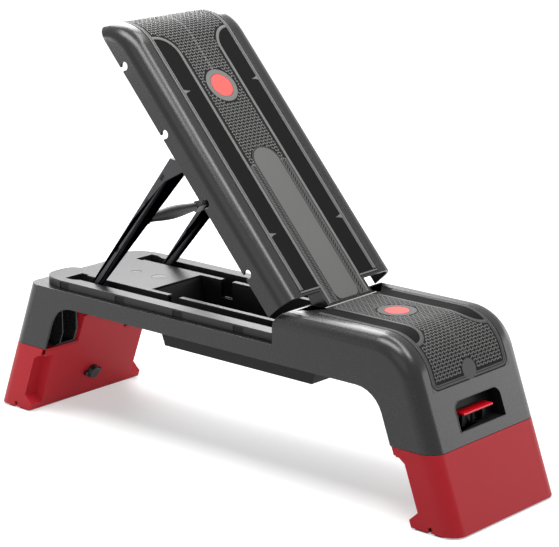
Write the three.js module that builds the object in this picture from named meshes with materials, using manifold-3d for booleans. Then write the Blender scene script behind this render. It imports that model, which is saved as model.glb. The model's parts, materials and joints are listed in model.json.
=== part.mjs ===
// Folding exercise bench: a low step deck with a raised backrest, a folding prop and two fold-in legs.
// Millimetres, +Z up. X runs along the bench (seat end at +X), Y across it.
// The origin is on the floor at the centre.
import * as THREE from 'three';
import { mergeVertices } from 'three/addons/utils/BufferGeometryUtils.js';
import Module from 'manifold-3d';

const wasm = await Module();
wasm.setup();
const rad = THREE.MathUtils.degToRad;

// ---------------------------------------------------------------- driving dimensions
const WIDTH = 325;              // across the bench
const TOP_Z = 350;              // deck height with the legs out
const FOOT_HALF = 614;          // centre to the end face at the floor
const END_LEAN = rad(20.15);    // end faces lean in from the vertical
const FROM_SIDE = { ledge: 28.5, panel: 13.5, grooveIn: 77.5, grooveOut: 43 };   // set in from the long sides
const FROM_FOOT = { lobes: 126, middle: 163, legPin: 149, keyhole: 60.3 };       // set in from the feet
const BEND_R = 100;             // bend from the top into the end faces
const SHOULDER_R = 31;          // rounded long edges
const WALL = 5;                 // moulded wall
const SEAM_Z = 148.5;           // lower edge of the black body, top of the red legs
const LEG_DEPTH = 94.5;         // body ends, square to the end face
const RAIL_Z = 248.5;           // underside of the side rails
const ARCH_R = 64;              // rail to leg corner under the deck
const RIB_ARCH_R = 40;          // the same corner on the ribs inside
const LEDGE_Z = 285;            // ledge that the lowered backrest closes on
const LEDGE_IN = WIDTH / 2 - FROM_SIDE.ledge;   // inner edge of the ledge from the centre line
const FIT = 0.3;                // gap between pieces that touch
const SLIDE = 1;                // gap between mouldings that move past each other

const SEAT_END_X = 172;         // inner end of the seat block
const SEAT_MAT_X = 243;         // where the seat mat starts, and the hinge slot ends
const SLOT_HALF = 77;           // half width of the hinge slot in the seat
const SLOT_FLOOR_Z = 292;

const PIVOT = { x: 219, z: 320 };   // backrest hinge axis
const BACK_ANGLE = rad(48.5);       // raised position
const BACK_DEPTH = 61;              // depth of the backrest shell
const TONGUE_HALF = 66;
const TONGUE_X = 204;               // end of the hinge tongue when the backrest is down
const PIN_R = 5;
const PIN_PLAY = 0.3;
const LUG_R = 12;
const LUG_T = 8;
const HOOK = { r: 8.5, rise: 10.5, shift: 5.5, mouth0: -4, mouth1: 6 };   // notches in the backrest's rim

const MAT_HALF = 116;           // mats, half width
const MAT_T = 3;
const MAT_END_Z = 252.5;        // lower edge of the mats on the end faces
const DOT_R = 22;               // round inlay in each mat
const SEAT_DOT_X = 344;
const BACK_DOT_X = -298;
const BADGE_HALF = 41;          // blank inlay panel down the backrest
const BADGE_X = -149;
const TONGUE_MAT_HALF = 60;

const PANEL_HALF = WIDTH / 2 - FROM_SIDE.panel;       // raised deck panel under the backrest
const PANEL_TOP_Z = 302;
const PANEL_T = 4;
const PANEL_LOBE_X = FOOT_HALF - FROM_FOOT.lobes;     // left end of the panel's two lobes
const PANEL_LOBE_R = 34;        // their outer corners
const PANEL_MID_X = FOOT_HALF - FROM_FOOT.middle;     // left end between the lobes
const PANEL_MID_HALF = 48;
const POCKET = { first: -409.5, pitch: 161, count: 4, length: 26 };   // pockets for the backrest's hooks
const GROOVE_IN = WIDTH / 2 - FROM_SIDE.grooveIn;     // grooves that the prop folds into
const GROOVE_OUT = WIDTH / 2 - FROM_SIDE.grooveOut;
const GROOVE_X = -428;
const FLARE = { in: GROOVE_IN - 5.5, out: GROOVE_OUT + 8.5, x0: -408, x1: -388 };   // left ends of the grooves
const TROUGH_T = 2.5;
const TROUGH_Z = 247;           // underside of the groove troughs
const TROUGH_DEEP_Z = 234.5;    // underside where the rack fins lie
const TROUGH_DEEP_X = -214;

const WELL_X = -232;            // storage well in the deck
const WELL_HALF = GROOVE_IN - 12;
const TRAY_T = 3;
const TRAY_Z = 190;
const TRAY_FLOOR = { x0: -191, x1: 198 };
const TRAY_END = { x: 229, z: 285 };

const PROP = { x: -375, z: 275 };   // prop hinge axis, in the groove troughs
const PROP_ANGLE = rad(52.2);
const PROP_RATIO = 1.08;            // prop degrees per backrest degree
const ARM_Y = GROOVE_IN + 20;       // arm centre from the centre line
const ARM_T = 10;
const ARM_H = 18;
const ARM_LEN = 395;
const HUB_R = 10;
const HUB_Y = [GROOVE_IN + 2, GROOVE_OUT - 2];
const GRIP_AT = 218;                // grip centre along the arms
const GRIP_R = { end: 9, mid: 14 };
const GRIP_HALF = 66;
const BRACKET = { root0: -14, root1: 9, tip: 9, rise: 8 };   // gusset from the arm to the grip
const SADDLE = { x0: 18, x1: 13, drop: 10 };                 // notch in the deck for the brackets
const PEG = { reach: 408, drop: rad(4), r: 6, y0: GROOVE_IN + 4 };   // at the end of each arm, below its line
const TOE = { run: 52, r: 7.5 };
const FIN_Y = [GROOVE_IN + 2.5, GROOVE_IN + 11];                     // rack fins that hold the pegs
const FIN = { left: 42, right: 8, foot: 17, under: 12, hook: 11, rise: 24 };

const LEG_PIN = { x: FOOT_HALF - FROM_FOOT.legPin, z: 215 };     // fold axis of the legs
const RED_DEPTH = 96.5;             // thickness of the legs, square to the end face
const RED_TOP_DEPTH = 88;           // outer walls above the corner steps
const STEP_DEPTH = 72;              // legs at their corner steps
const STEP = { z0: 17, z1: 130.5, in: 133, rise: 9, run: 18 };
const NECK_HALF = 67.5;             // neck from each leg up to its fold axis
const NECK_DEPTH = 46;
const NECK_T = 12;
const NECK_HUB_R = 24;
const RIB_IN = 77;
const OUTER_RIB = { in: 118.5, t: 3 };
const PAD_T = 3;
const PAD_IN = 73;
const KNOB = { z: 56, r: 16, t: 12, span: 46, ear: 9 };

const HAND = { z0: 170.5, z1: 225, half: 70, r: 18 };
const CUP = { depth: 34, margin: 5, t: 3 };
const LEVER = { half: 45, z: 194.5, t: 4, front: 2, back: 27 };
const PRONG = { y: 31, w: 10, depth0: 14, depth1: 21.5, bar: 4 };

// ---------------------------------------------------------------- solids
const materials = {
  black: new THREE.MeshStandardMaterial({ color: 0x2b2b2d, roughness: 0.5 }),
  inner: new THREE.MeshStandardMaterial({ color: 0x1b1b1c, roughness: 0.7 }),
  rubber: new THREE.MeshStandardMaterial({ color: 0x3a3a3b, roughness: 0.85 }),
  badge: new THREE.MeshStandardMaterial({ color: 0x5f5f60, roughness: 0.6 }),
  coral: new THREE.MeshStandardMaterial({ color: 0xe0605c, roughness: 0.6 }),
  red: new THREE.MeshStandardMaterial({ color: 0xa52d34, roughness: 0.45 }),
  lever: new THREE.MeshStandardMaterial({ color: 0xc80f1e, roughness: 0.35 }),
  steel: new THREE.MeshStandardMaterial({ color: 0x8f9296, roughness: 0.35, metalness: 1 }),
  coated: new THREE.MeshStandardMaterial({ color: 0x1d1d1f, roughness: 0.4, metalness: 0.4 }),
};

/** Turns a closed three.js geometry into a solid for joining and cutting. */
function solid(geometry) {
  const bare = geometry.clone();
  bare.deleteAttribute('normal');
  bare.deleteAttribute('uv');
  const merged = mergeVertices(bare, 1e-4);
  return new wasm.Manifold(new wasm.Mesh({
    numProp: 3,
    vertProperties: new Float32Array(merged.attributes.position.array),
    triVerts: new Uint32Array(merged.index.array),
  }));
}

const join = (...parts) => parts.flat().reduce((a, b) => a.add(b));
const cut = (body, ...tools) => tools.flat().reduce((a, b) => a.subtract(b), body);

function geometryOf(body) {
  const mesh = body.getMesh();
  const geometry = new THREE.BufferGeometry();
  geometry.setAttribute('position', new THREE.BufferAttribute(new Float32Array(mesh.vertProperties), 3));
  geometry.setIndex(new THREE.BufferAttribute(new Uint32Array(mesh.triVerts), 1));
  geometry.computeVertexNormals();
  return geometry;
}

function box([x0, x1], [y0, y1], [z0, z1]) {
  const geometry = new THREE.BoxGeometry(x1 - x0, y1 - y0, z1 - z0);
  geometry.translate((x0 + x1) / 2, (y0 + y1) / 2, (z0 + z1) / 2);
  return solid(geometry);
}

/** The same box on both sides of the centre line. */
const boxPair = (x, [y0, y1], z) => join(box(x, [y0, y1], z), box(x, [-y1, -y0], z));

function extruded(outline, depth, steps = 6) {
  const given = outline instanceof THREE.Shape;
  const shape = given ? outline : new THREE.Shape(outline.map(([a, b]) => new THREE.Vector2(a, b)));
  return new THREE.ExtrudeGeometry(shape, { depth, bevelEnabled: false, curveSegments: steps });
}

/** An outline in X and Z, carried across the bench from y0 to y1. */
function plate(outline, [y0, y1], steps) {
  const geometry = extruded(outline, y1 - y0, steps);
  geometry.rotateX(Math.PI / 2);
  geometry.translate(0, y1, 0);
  return solid(geometry);
}

const platePair = (outline, [y0, y1], steps) => join(
  plate(outline, [y0, y1], steps),
  plate(outline, [-y1, -y0], steps),
);

/** An outline in X and Y, carried up from z0 to z1. */
function slab(outline, [z0, z1], steps) {
  const geometry = extruded(outline, z1 - z0, steps);
  geometry.translate(0, 0, z0);
  return solid(geometry);
}

/** A round bar along Y. */
function rod({ x, z }, r, [y0, y1], sides = 20) {
  const geometry = new THREE.CylinderGeometry(r, r, y1 - y0, sides);
  geometry.translate(x, (y0 + y1) / 2, z);
  return solid(geometry);
}

/** A round bar along Z. */
function post({ x, y }, r, [z0, z1], sides = 16) {
  const geometry = new THREE.CylinderGeometry(r, r, z1 - z0, sides);
  geometry.rotateX(Math.PI / 2);
  geometry.translate(x, y, (z0 + z1) / 2);
  return solid(geometry);
}

// ---------------------------------------------------------------- the outer form of the bench
const endX = (z) => FOOT_HALF - z * Math.tan(END_LEAN);
const bend = {
  x: FOOT_HALF - BEND_R / Math.cos(END_LEAN) - (TOP_Z - BEND_R) * Math.tan(END_LEAN),
  z: TOP_Z - BEND_R,
};

/** A point at this height, set in from the end face by depth, square to the face. */
const inEnd = (depth, z) => [FOOT_HALF - depth / Math.cos(END_LEAN) - z * Math.tan(END_LEAN), z];

/** Stations up one end face from z0, round the bend and along the top to xEnd: place and outward angle. */
function endPath(z0, xEnd, steps = 9) {
  const list = [{ x: endX(0), z: 0, a: END_LEAN }];
  for (let i = 0; i <= steps; i += 1) {
    const share = i / steps;
    const a = END_LEAN + (Math.PI / 2 - END_LEAN) * share;
    const x = bend.x + BEND_R * Math.cos(a);
    list.push({ x, z: bend.z + BEND_R * Math.sin(a), a });
  }
  const next = list.findIndex((s) => s.z > z0);
  const [from, to] = [list[next - 1], list[next]];
  const share = (z0 - from.z) / (to.z - from.z);
  const first = {};
  ['x', 'z', 'a'].forEach((key) => { first[key] = from[key] + (to[key] - from[key]) * share; });
  return [first, ...list.slice(next), { x: xEnd, z: TOP_Z, a: Math.PI / 2 }];
}

const facePath = (z0, z1) => [z0, z1].map((z) => ({ x: endX(z), z, a: END_LEAN }));
const topPath = (x0, x1) => [x0, x1].map((x) => ({ x, z: TOP_Z, a: Math.PI / 2 }));
const mirrored = (path) => path.map((s) => ({ ...s, x: -s.x, a: Math.PI - s.a }));

/** Lofts a section of [y, depth] points along the stations and closes both ends. */
function sweep(path, section) {
  const ring = ({ x, z, a }) => section.map(([y, d]) => [x - d * Math.cos(a), y, z - d * Math.sin(a)]);
  const rings = path.map(ring);
  const n = rings[0].length;
  const index = [];
  for (let i = 0; i + 1 < rings.length; i += 1) {
    for (let j = 0; j < n; j += 1) {
      const [a, b] = [i * n + j, i * n + ((j + 1) % n)];
      index.push(a, b, b + n, a, b + n, a + n);
    }
  }
  const last = (rings.length - 1) * n;
  const contour = section.map(([y, d]) => new THREE.Vector2(y, d));
  const { area } = THREE.ShapeUtils;
  [0, last].forEach((base) => {
    THREE.ShapeUtils.triangulateShape(contour, []).forEach(([p, q, r]) => {
      const sameTurn = area([contour[p], contour[q], contour[r]]) * area(contour) > 0;
      const flip = sameTurn === (base === 0);
      index.push(base + p, base + (flip ? r : q), base + (flip ? q : r));
    });
  });
  const points = rings.flat();
  const volume = index.reduce((sum, _, i) => {
    if (i % 3) return sum;
    const [a, b, c] = [0, 1, 2].map((k) => new THREE.Vector3(...points[index[i + k]]));
    return sum + a.dot(b.cross(c));
  }, 0);
  const geometry = new THREE.BufferGeometry();
  geometry.setAttribute('position', new THREE.Float32BufferAttribute(points.flat(), 3));
  geometry.setIndex(volume > 0 ? index : index.reverse());
  return solid(geometry);
}

const FLAT_HALF = WIDTH / 2 - SHOULDER_R;

/** One side of a rounded lid section, inset from the outside, from its rim to the shoulder's top. */
function lidEdge(inset, rim, steps = 5) {
  const r = SHOULDER_R - inset;
  const edge = [[-WIDTH / 2 + inset, rim]];
  for (let i = 0; i <= steps; i += 1) {
    const a = (Math.PI / 2) * (i / steps);
    edge.push([-FLAT_HALF - r * Math.cos(a), SHOULDER_R - r * Math.sin(a)]);
  }
  return edge;
}

const across = (edge) => [...edge, ...edge.slice().reverse().map(([y, d]) => [-y, d])];

/** Closed section of a lid with its two side walls: a channel that opens inwards. */
const lid = (rim, wall = WALL) => [...across(lidEdge(0, rim)), ...across(lidEdge(wall, rim)).reverse()];

/** Closed section filled right across, down to a depth. */
const filled = (depth) => across(lidEdge(0, depth));

/** Closed section of a strip that lies on the lid, between two depths. */
const strip = (half, d0, d1) => [[-half, d0], [half, d0], [half, d1], [-half, d1]];

/** Inner edge of an end leg with its corner into the rail, as points from the seam to the rail. */
function archEdge(side, radius = ARCH_R, steps = 6) {
  const [x0] = inEnd(LEG_DEPTH, SEAM_Z);
  const lean = END_LEAN;
  const run = RAIL_Z - SEAM_Z;
  const cornerX = x0 - run * Math.tan(lean);
  const setBack = radius * Math.tan((Math.PI / 2 - lean) / 2);
  const centre = { x: cornerX - setBack, z: RAIL_Z - radius };
  const edge = [[x0, SEAM_Z]];
  for (let i = 0; i <= steps; i += 1) {
    const a = lean + (Math.PI / 2 - lean) * (i / steps);
    edge.push([centre.x + radius * Math.cos(a), centre.z + radius * Math.sin(a)]);
  }
  return edge.map(([x, z]) => [side * x, z]);
}

/** Outline just inside the outer form of one end, from height z0 round to x on the top. */
function innerLine(depth, z0, xEnd, side, steps = 6) {
  const line = [inEnd(depth, z0)];
  for (let i = 0; i <= steps; i += 1) {
    const a = END_LEAN + (Math.PI / 2 - END_LEAN) * (i / steps);
    line.push([bend.x + (BEND_R - depth) * Math.cos(a), bend.z + (BEND_R - depth) * Math.sin(a)]);
  }
  if (xEnd !== undefined) line.push([xEnd, TOP_Z - depth]);
  return line.map(([x, z]) => [side * x, z]);
}

// ---------------------------------------------------------------- base
const SIDE_IN = SHOULDER_R + WALL;

function bodyShell() {
  const seat = sweep(endPath(SEAM_Z, SEAT_END_X), lid(LEG_DEPTH));
  const far = sweep(mirrored(facePath(SEAM_Z, LEDGE_Z + SHOULDER_R)), lid(LEG_DEPTH));
  const aboveLedge = box([-FOOT_HALF, SEAT_END_X - SLIDE], [-WIDTH, WIDTH], [LEDGE_Z, TOP_Z]);
  const belowSeam = box([-FOOT_HALF, FOOT_HALF], [-WIDTH, WIDTH], [0, SEAM_Z]);
  const sideOutline = [
    ...innerLine(SIDE_IN, SEAM_Z, SEAT_END_X, 1),
    [SEAT_END_X, LEDGE_Z],
    [-inEnd(SIDE_IN, LEDGE_Z)[0], LEDGE_Z],
    [-inEnd(SIDE_IN, SEAM_Z)[0], SEAM_Z],
    ...archEdge(-1),
    ...archEdge(1).reverse(),
  ];
  const sides = platePair(sideOutline, [WIDTH / 2 - WALL, WIDTH / 2]);

  const round = { x: SEAT_END_X + SHOULDER_R, z: TOP_Z - SHOULDER_R };
  const corner = cut(
    box([SEAT_END_X - SLIDE, round.x], [-WIDTH, WIDTH], [round.z, TOP_Z + SLIDE]),
    rod(round, SHOULDER_R, [-WIDTH, WIDTH], 40),
  );
  const endProfile = new THREE.Shape();
  endProfile.moveTo(SEAT_END_X, LEDGE_Z - WALL);
  endProfile.lineTo(SEAT_END_X, round.z);
  endProfile.absarc(round.x, round.z, SHOULDER_R, Math.PI, Math.PI / 2, true);
  endProfile.absarc(round.x, round.z, SHOULDER_R - WALL, Math.PI / 2, Math.PI, false);
  endProfile.lineTo(SEAT_END_X + WALL, LEDGE_Z - WALL);
  const inside = sweep(topPath(SEAT_END_X - SHOULDER_R, SEAT_MAT_X), filled(SHOULDER_R + LEG_DEPTH));
  const endWall = plate(endProfile, [-WIDTH / 2, WIDTH / 2], 8).intersect(inside);

  const ledgeEnd = -endX(LEDGE_Z) + SLIDE;
  const ledgeCorner = SHOULDER_R + SLIDE;
  const ledge = new THREE.Shape();
  ledge.moveTo(SEAT_END_X + WALL, -WIDTH / 2 + SLIDE);
  ledge.lineTo(SEAT_END_X + WALL, WIDTH / 2 - SLIDE);
  ledge.lineTo(ledgeEnd + ledgeCorner, WIDTH / 2 - SLIDE);
  ledge.absarc(ledgeEnd + ledgeCorner, FLAT_HALF, ledgeCorner - SLIDE, Math.PI / 2, Math.PI, false);
  ledge.absarc(ledgeEnd + ledgeCorner, -FLAT_HALF, ledgeCorner - SLIDE, Math.PI, 1.5 * Math.PI, false);
  const ledgePlate = cut(
    slab(ledge, [LEDGE_Z - WALL, LEDGE_Z]),
    box([GROOVE_X - 20, SEAT_END_X], [-LEDGE_IN, LEDGE_IN], [0, TOP_Z]),
  );

  const ribs = [1, -1].map((side) => {
    const outline = [
      ...innerLine(WALL / 2, SEAM_Z + SLIDE, undefined, side),
      ...archEdge(side, RIB_ARCH_R).slice(1).reverse(),
      [side * inEnd(LEG_DEPTH, SEAM_Z + SLIDE)[0], SEAM_Z + SLIDE],
    ];
    const [floor0, floor1] = [SEAM_Z + SLIDE, SEAM_Z + SLIDE + TRAY_T];
    const floor = [[WALL / 2, floor0], [WALL / 2, floor1], [LEG_DEPTH, floor1], [LEG_DEPTH, floor0]]
      .map(([depth, z]) => [side * inEnd(depth, z)[0], z]);
    const keep = side > 0 ? [-FOOT_HALF, FOOT_HALF] : [-FOOT_HALF, GROOVE_X - 20];
    const height = side > 0 ? TOP_Z - WALL / 2 : LEDGE_Z - WALL / 2;
    const walls = join(
      platePair(outline, [RIB_IN, RIB_IN + WALL]),
      platePair(outline, [OUTER_RIB.in, OUTER_RIB.in + OUTER_RIB.t]),
      platePair(floor, [RIB_IN + WALL / 2, FLAT_HALF]),
    );
    return walls.intersect(box(keep, [-WIDTH, WIDTH], [0, height]));
  });

  const slotY = [-SLOT_HALF, SLOT_HALF];
  const slotCut = box([SEAT_END_X - SLIDE, SEAT_MAT_X], slotY, [SLOT_FLOOR_Z, TOP_Z + SLIDE]);
  const slotBox = cut(
    box([SEAT_END_X + WALL / 2, SEAT_MAT_X + PANEL_T], [-SLOT_HALF - PANEL_T, SLOT_HALF + PANEL_T],
      [SLOT_FLOOR_Z - PANEL_T, TOP_Z - MAT_T - FIT - 1]),
    corner,
  );
  const trayY = WELL_HALF + TRAY_T + SLIDE;
  const trayTop = SLOT_FLOOR_Z - PANEL_T;
  const trayWay = box([SEAT_END_X - SLIDE, SEAT_END_X + WALL + SLIDE], [-trayY, trayY], [0, trayTop]);
  const bores = [PIVOT, LEG_PIN, { x: -LEG_PIN.x, z: LEG_PIN.z }]
    .map((axis) => rod(axis, PIN_R + PIN_PLAY, [-WIDTH / 3, WIDTH / 3]));
  const screwZ = [LEDGE_Z - 2 * WALL, LEDGE_Z + SLIDE];
  const screwHoles = SCREWS.map((at) => post(at, SCREW.r + PIN_PLAY, screwZ));

  const farEnd = cut(far, aboveLedge, belowSeam);
  let body = join(cut(seat, corner, belowSeam), farEnd, sides, endWall, ledgePlate, ribs);
  body = cut(body, slotCut).add(slotBox);
  return cut(body, slotCut, trayWay, seatMatForm(FIT), bores, screwHoles, handSlot(1), handSlot(-1));
}

/** The hand hold through an end face. */
function handSlot(side) {
  const middle = (HAND.z0 + HAND.z1) / 2;
  const rise = (HAND.z1 - HAND.z0) / Math.cos(END_LEAN);
  const w = HAND.half;
  const shape = new THREE.Shape();
  shape.moveTo(-w, -rise / 2);
  shape.lineTo(w, -rise / 2);
  shape.lineTo(w, rise / 2 - HAND.r);
  shape.absarc(w - HAND.r, rise / 2 - HAND.r, HAND.r, 0, Math.PI / 2, false);
  shape.absarc(-w + HAND.r, rise / 2 - HAND.r, HAND.r, Math.PI / 2, Math.PI, false);
  const length = 3 * WALL;
  const geometry = extruded(shape, length);
  geometry.translate(0, 0, -length / 2);
  geometry.rotateX(Math.PI / 2);
  geometry.rotateZ(Math.PI / 2);
  geometry.rotateY(-END_LEAN);
  geometry.translate(endX(middle), 0, middle);
  if (side < 0) geometry.rotateZ(Math.PI);
  return solid(geometry);
}

// ---------------------------------------------------------------- mats
const DOT_T = MAT_T - FIT;

/** A mat strip with its recess: the two differ by the clearance round the mat. */
function matStrip(path, half, gap) {
  const top = gap > 0 ? -SLIDE : 0;
  return sweep(path, strip(half + gap, top, gap > 0 ? MAT_T : MAT_T - FIT));
}

function seatMatForm(gap) {
  const main = matStrip(endPath(MAT_END_Z - gap, SEAT_MAT_X - gap), MAT_HALF, gap);
  const wingEnd = SEAT_END_X + SHOULDER_R + SLIDE - gap;
  const wing = matStrip(topPath(SEAT_MAT_X + 2 * SHOULDER_R, wingEnd), MAT_HALF, gap);
  const notchHalf = SLOT_HALF + PANEL_T - gap;
  const notch = box([0, SEAT_MAT_X - gap], [-notchHalf, notchHalf], [0, 2 * TOP_Z]);
  return main.add(cut(wing, notch));
}

function seatMat() {
  return cut(seatMatForm(0), post({ x: SEAT_DOT_X, y: 0 }, DOT_R + FIT, [0, 2 * TOP_Z], 28));
}

const dot = (x) => post({ x, y: 0 }, DOT_R, [TOP_Z - DOT_T, TOP_Z], 28);

function backMatForm(gap) {
  const end = BACK_END_X - WALL + gap;
  const main = matStrip(mirrored(endPath(MAT_BACK_END_Z - gap, -end)), MAT_HALF, gap);
  const tongue = matStrip(topPath(end - SHOULDER_R, TONGUE_X - WALL / 2 + gap), TONGUE_MAT_HALF, gap);
  return main.add(tongue);
}

/** Outline of the blank inlay panel, with a rounded upper end. */
function badgeOutline(gap) {
  const half = BADGE_HALF + gap;
  const x0 = BADGE_X + BADGE_HALF;
  const x1 = TONGUE_X - 2 * WALL + gap;
  const shape = new THREE.Shape();
  shape.moveTo(x1, -half);
  shape.lineTo(x1, half);
  shape.lineTo(x0, half);
  shape.absarc(x0, 0, half, Math.PI / 2, 1.5 * Math.PI, false);
  return shape;
}

function backMat() {
  return cut(
    backMatForm(0),
    post({ x: BACK_DOT_X, y: 0 }, DOT_R + FIT, [0, 2 * TOP_Z], 28),
    slab(badgeOutline(FIT), [0, 2 * TOP_Z], 10),
  );
}

// ---------------------------------------------------------------- deck panel and storage tray
const SCREW = { r: 2, head: 4.5, headT: 2.5 };
const SCREW_Y = LEDGE_IN + 6;
const SCREWS = [-400, -130, 130].flatMap((x) => [{ x, y: -SCREW_Y }, { x, y: SCREW_Y }]);

function panelOutline(half, x1, inset) {
  const lobe = -PANEL_LOBE_X + inset;
  const mid = -PANEL_MID_X + inset;
  const r = PANEL_LOBE_R;
  const notch = PANEL_MID_HALF - inset;
  const shape = new THREE.Shape();
  shape.moveTo(x1, -half);
  shape.lineTo(lobe + 2 * r, -half);
  shape.bezierCurveTo(lobe + r, -half, lobe, -half + r / 2, lobe, -half + 1.4 * r);
  shape.lineTo(lobe, -notch - r);
  shape.quadraticCurveTo(lobe, -notch, mid, -notch);
  shape.lineTo(mid, notch);
  shape.quadraticCurveTo(lobe, notch, lobe, notch + r);
  shape.lineTo(lobe, half - 1.4 * r);
  shape.bezierCurveTo(lobe, half - r / 2, lobe + r, half, lobe + 2 * r, half);
  shape.lineTo(x1, half);
  return shape;
}

/** The widened left end of the groove on one side, grown by t. */
function flareOutline(side, t) {
  const [x, y0, y1] = [GROOVE_X - t, FLARE.in - t, FLARE.out + t];
  const [x0, x1] = [FLARE.x0 + t, FLARE.x1 + t];
  const outline = [
    [x, y0], [x0, y0], [x0, GROOVE_IN + SLIDE],
    [x1, GROOVE_OUT - SLIDE], [x0, y1], [x, y1],
  ];
  return outline.map(([px, py]) => [px, side * py]);
}

function deckPanel() {
  const x1 = SEAT_END_X - FIT;
  const bottom = LEDGE_Z + FIT;
  const inner = PANEL_TOP_Z - PANEL_T;
  const shellOuter = slab(panelOutline(PANEL_HALF, x1, 0), [bottom, PANEL_TOP_Z]);
  const hollow = slab(panelOutline(PANEL_HALF - PANEL_T, x1 - PANEL_T, PANEL_T), [0, inner]);
  const bosses = SCREWS.map((at) => post(at, SCREW.r + 4, [bottom, inner + 1]));
  const t = TROUGH_T;
  const troughs = join(
    boxPair([GROOVE_X - t, x1], [GROOVE_IN - t, GROOVE_OUT + t], [TROUGH_Z, inner + 1]),
    boxPair([TROUGH_DEEP_X - t, x1], [GROOVE_IN - t, GROOVE_OUT + t], [TROUGH_DEEP_Z, inner + 1]),
  );
  const grooves = join(
    boxPair([GROOVE_X, x1 - t], [GROOVE_IN, GROOVE_OUT], [TROUGH_Z + t, TOP_Z]),
    boxPair([TROUGH_DEEP_X, x1 - t], [GROOVE_IN, GROOVE_OUT], [TROUGH_DEEP_Z + t, TOP_Z]),
    [1, -1].map((side) => slab(flareOutline(side, 0), [inner - SHOULDER_R, TOP_Z])),
  );
  const flareZ = [inner - SHOULDER_R - t, inner + 1];
  const flareSkins = [1, -1].map((side) => slab(flareOutline(side, t), flareZ));
  const pockets = [];
  for (let i = 0; i < POCKET.count; i += 1) {
    const x = POCKET.first + i * POCKET.pitch;
    const along = [x - POCKET.length / 2, x + POCKET.length / 2];
    pockets.push(boxPair(along, [PANEL_HALF - 2, PANEL_HALF + 1], [bottom - 1, inner]));
  }
  const well = box([WELL_X, x1 + 1], [-WELL_HALF, WELL_HALF], [0, TOP_Z]);
  const trayHalf = WELL_HALF + TRAY_T + FIT;
  const trayWay = box([x1 - PANEL_T - FIT, x1 + 1], [-trayHalf, trayHalf], [0, inner]);
  const pivotBores = rod(PROP, PIN_R + PIN_PLAY, [-GROOVE_OUT - 2 * t, GROOVE_OUT + 2 * t]);
  const blind = SCREWS.map((at) => post(at, SCREW.r + PIN_PLAY / 2, [0, inner - 1]));
  const whole = join(cut(shellOuter, hollow), bosses, troughs, flareSkins);
  return cut(whole, grooves, well, trayWay, pivotBores, gripSpace(), pockets, blind);
}

/** Notch across the groove walls for the grip's brackets when the prop lies down. */
function gripSpace() {
  const angle = PROP_ANGLE - PROP_RATIO * BACK_ANGLE;
  const x = PROP.x + GRIP_AT * Math.cos(angle);
  const z = PROP.z + GRIP_AT * Math.sin(angle) - SADDLE.drop;
  return box([x - SADDLE.x0, x + SADDLE.x1], [-GROOVE_IN - SLIDE, GROOVE_IN + SLIDE], [z, TOP_Z]);
}

function storageTray() {
  const top = PANEL_TOP_Z - PANEL_T - FIT;
  const y = WELL_HALF + TRAY_T;
  const outer = [
    [WELL_X - TRAY_T, top], [TRAY_FLOOR.x0 - TRAY_T, TRAY_Z], [TRAY_FLOOR.x1, TRAY_Z],
    [TRAY_END.x, TRAY_END.z], [SEAT_END_X - SLIDE, TRAY_END.z], [SEAT_END_X - SLIDE, top],
  ];
  const inner = [
    [WELL_X, top + 1], [TRAY_FLOOR.x0, TRAY_Z + TRAY_T], [TRAY_FLOOR.x1 - TRAY_T, TRAY_Z + TRAY_T],
    [TRAY_END.x - TRAY_T - SLIDE, TRAY_END.z + 1], [TRAY_END.x - TRAY_T, top + 1],
  ];
  return cut(plate(outer, [-y, y]), plate(inner, [-WELL_HALF, WELL_HALF]), gripSpace());
}

// ---------------------------------------------------------------- backrest, modelled lying down
const BACK_END_X = SEAT_END_X - 2 * SLIDE;
const BACK_RIM_Z = TOP_Z - BACK_DEPTH;
const MAT_BACK_END_Z = BACK_RIM_Z + 14;

function backrestShell() {
  const run = sweep(mirrored(endPath(BACK_RIM_Z - SHOULDER_R, -BACK_END_X)), lid(BACK_DEPTH));
  const below = box([-FOOT_HALF - 10, SEAT_END_X], [-WIDTH, WIDTH], [0, BACK_RIM_Z]);
  const tongueY = [-TONGUE_HALF, TONGUE_HALF];
  const tongue = box([BACK_END_X - SHOULDER_R, TONGUE_X], tongueY, [TOP_Z - WALL, TOP_Z]);
  const lug = new THREE.Shape();
  lug.moveTo(BACK_END_X - 2 * SHOULDER_R, TOP_Z - WALL + 1);
  lug.lineTo(BACK_END_X - SHOULDER_R, TOP_Z - SHOULDER_R);
  lug.lineTo(PIVOT.x - LUG_R / 2, PIVOT.z - LUG_R * 0.87);
  lug.absarc(PIVOT.x, PIVOT.z, LUG_R, rad(240), rad(70), false);
  lug.lineTo(TONGUE_X, TOP_Z - WALL + 1);
  const lugs = platePair(lug, [TONGUE_HALF - LUG_T, TONGUE_HALF]);
  const hooks = [];
  for (let i = 0; i < POCKET.count; i += 1) {
    const x = POCKET.first + i * POCKET.pitch + HOOK.shift;
    const z = BACK_RIM_Z + HOOK.rise;
    const bite = rod({ x, z }, HOOK.r, [-WIDTH, WIDTH], 20);
    const mouth = box([x + HOOK.mouth0, x + HOOK.mouth1], [-WIDTH, WIDTH], [BACK_RIM_Z - 1, z]);
    hooks.push(bite, mouth);
  }
  const walls = join(cut(run, below), tongue, lugs);
  return cut(walls, hooks, backMatForm(FIT), rod(PIVOT, PIN_R + PIN_PLAY, [-WIDTH, WIDTH]));
}

/** Stiffening lattice under the backrest: two long ribs and cross ribs, clear of the prop's lanes. */
function backrestRibs() {
  const top = TOP_Z - WALL - FIT;
  const long = { x0: -bend.x, x1: BACK_END_X - 2 * SHOULDER_R };
  const inner = WELL_HALF + PANEL_T;
  const spine = boxPair([long.x0, long.x1], [inner - PANEL_T, inner], [top - 30, top]);
  const between = [-inner + 1, inner - 1];
  const cross = [0.07, 0.28, 0.49, 0.7, 0.91].map((share) => {
    const x = long.x0 + share * (long.x1 - long.x0);
    return box([x, x + PANEL_T], between, [top - 26, top - 1]);
  });
  return join(spine, cross);
}

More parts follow.
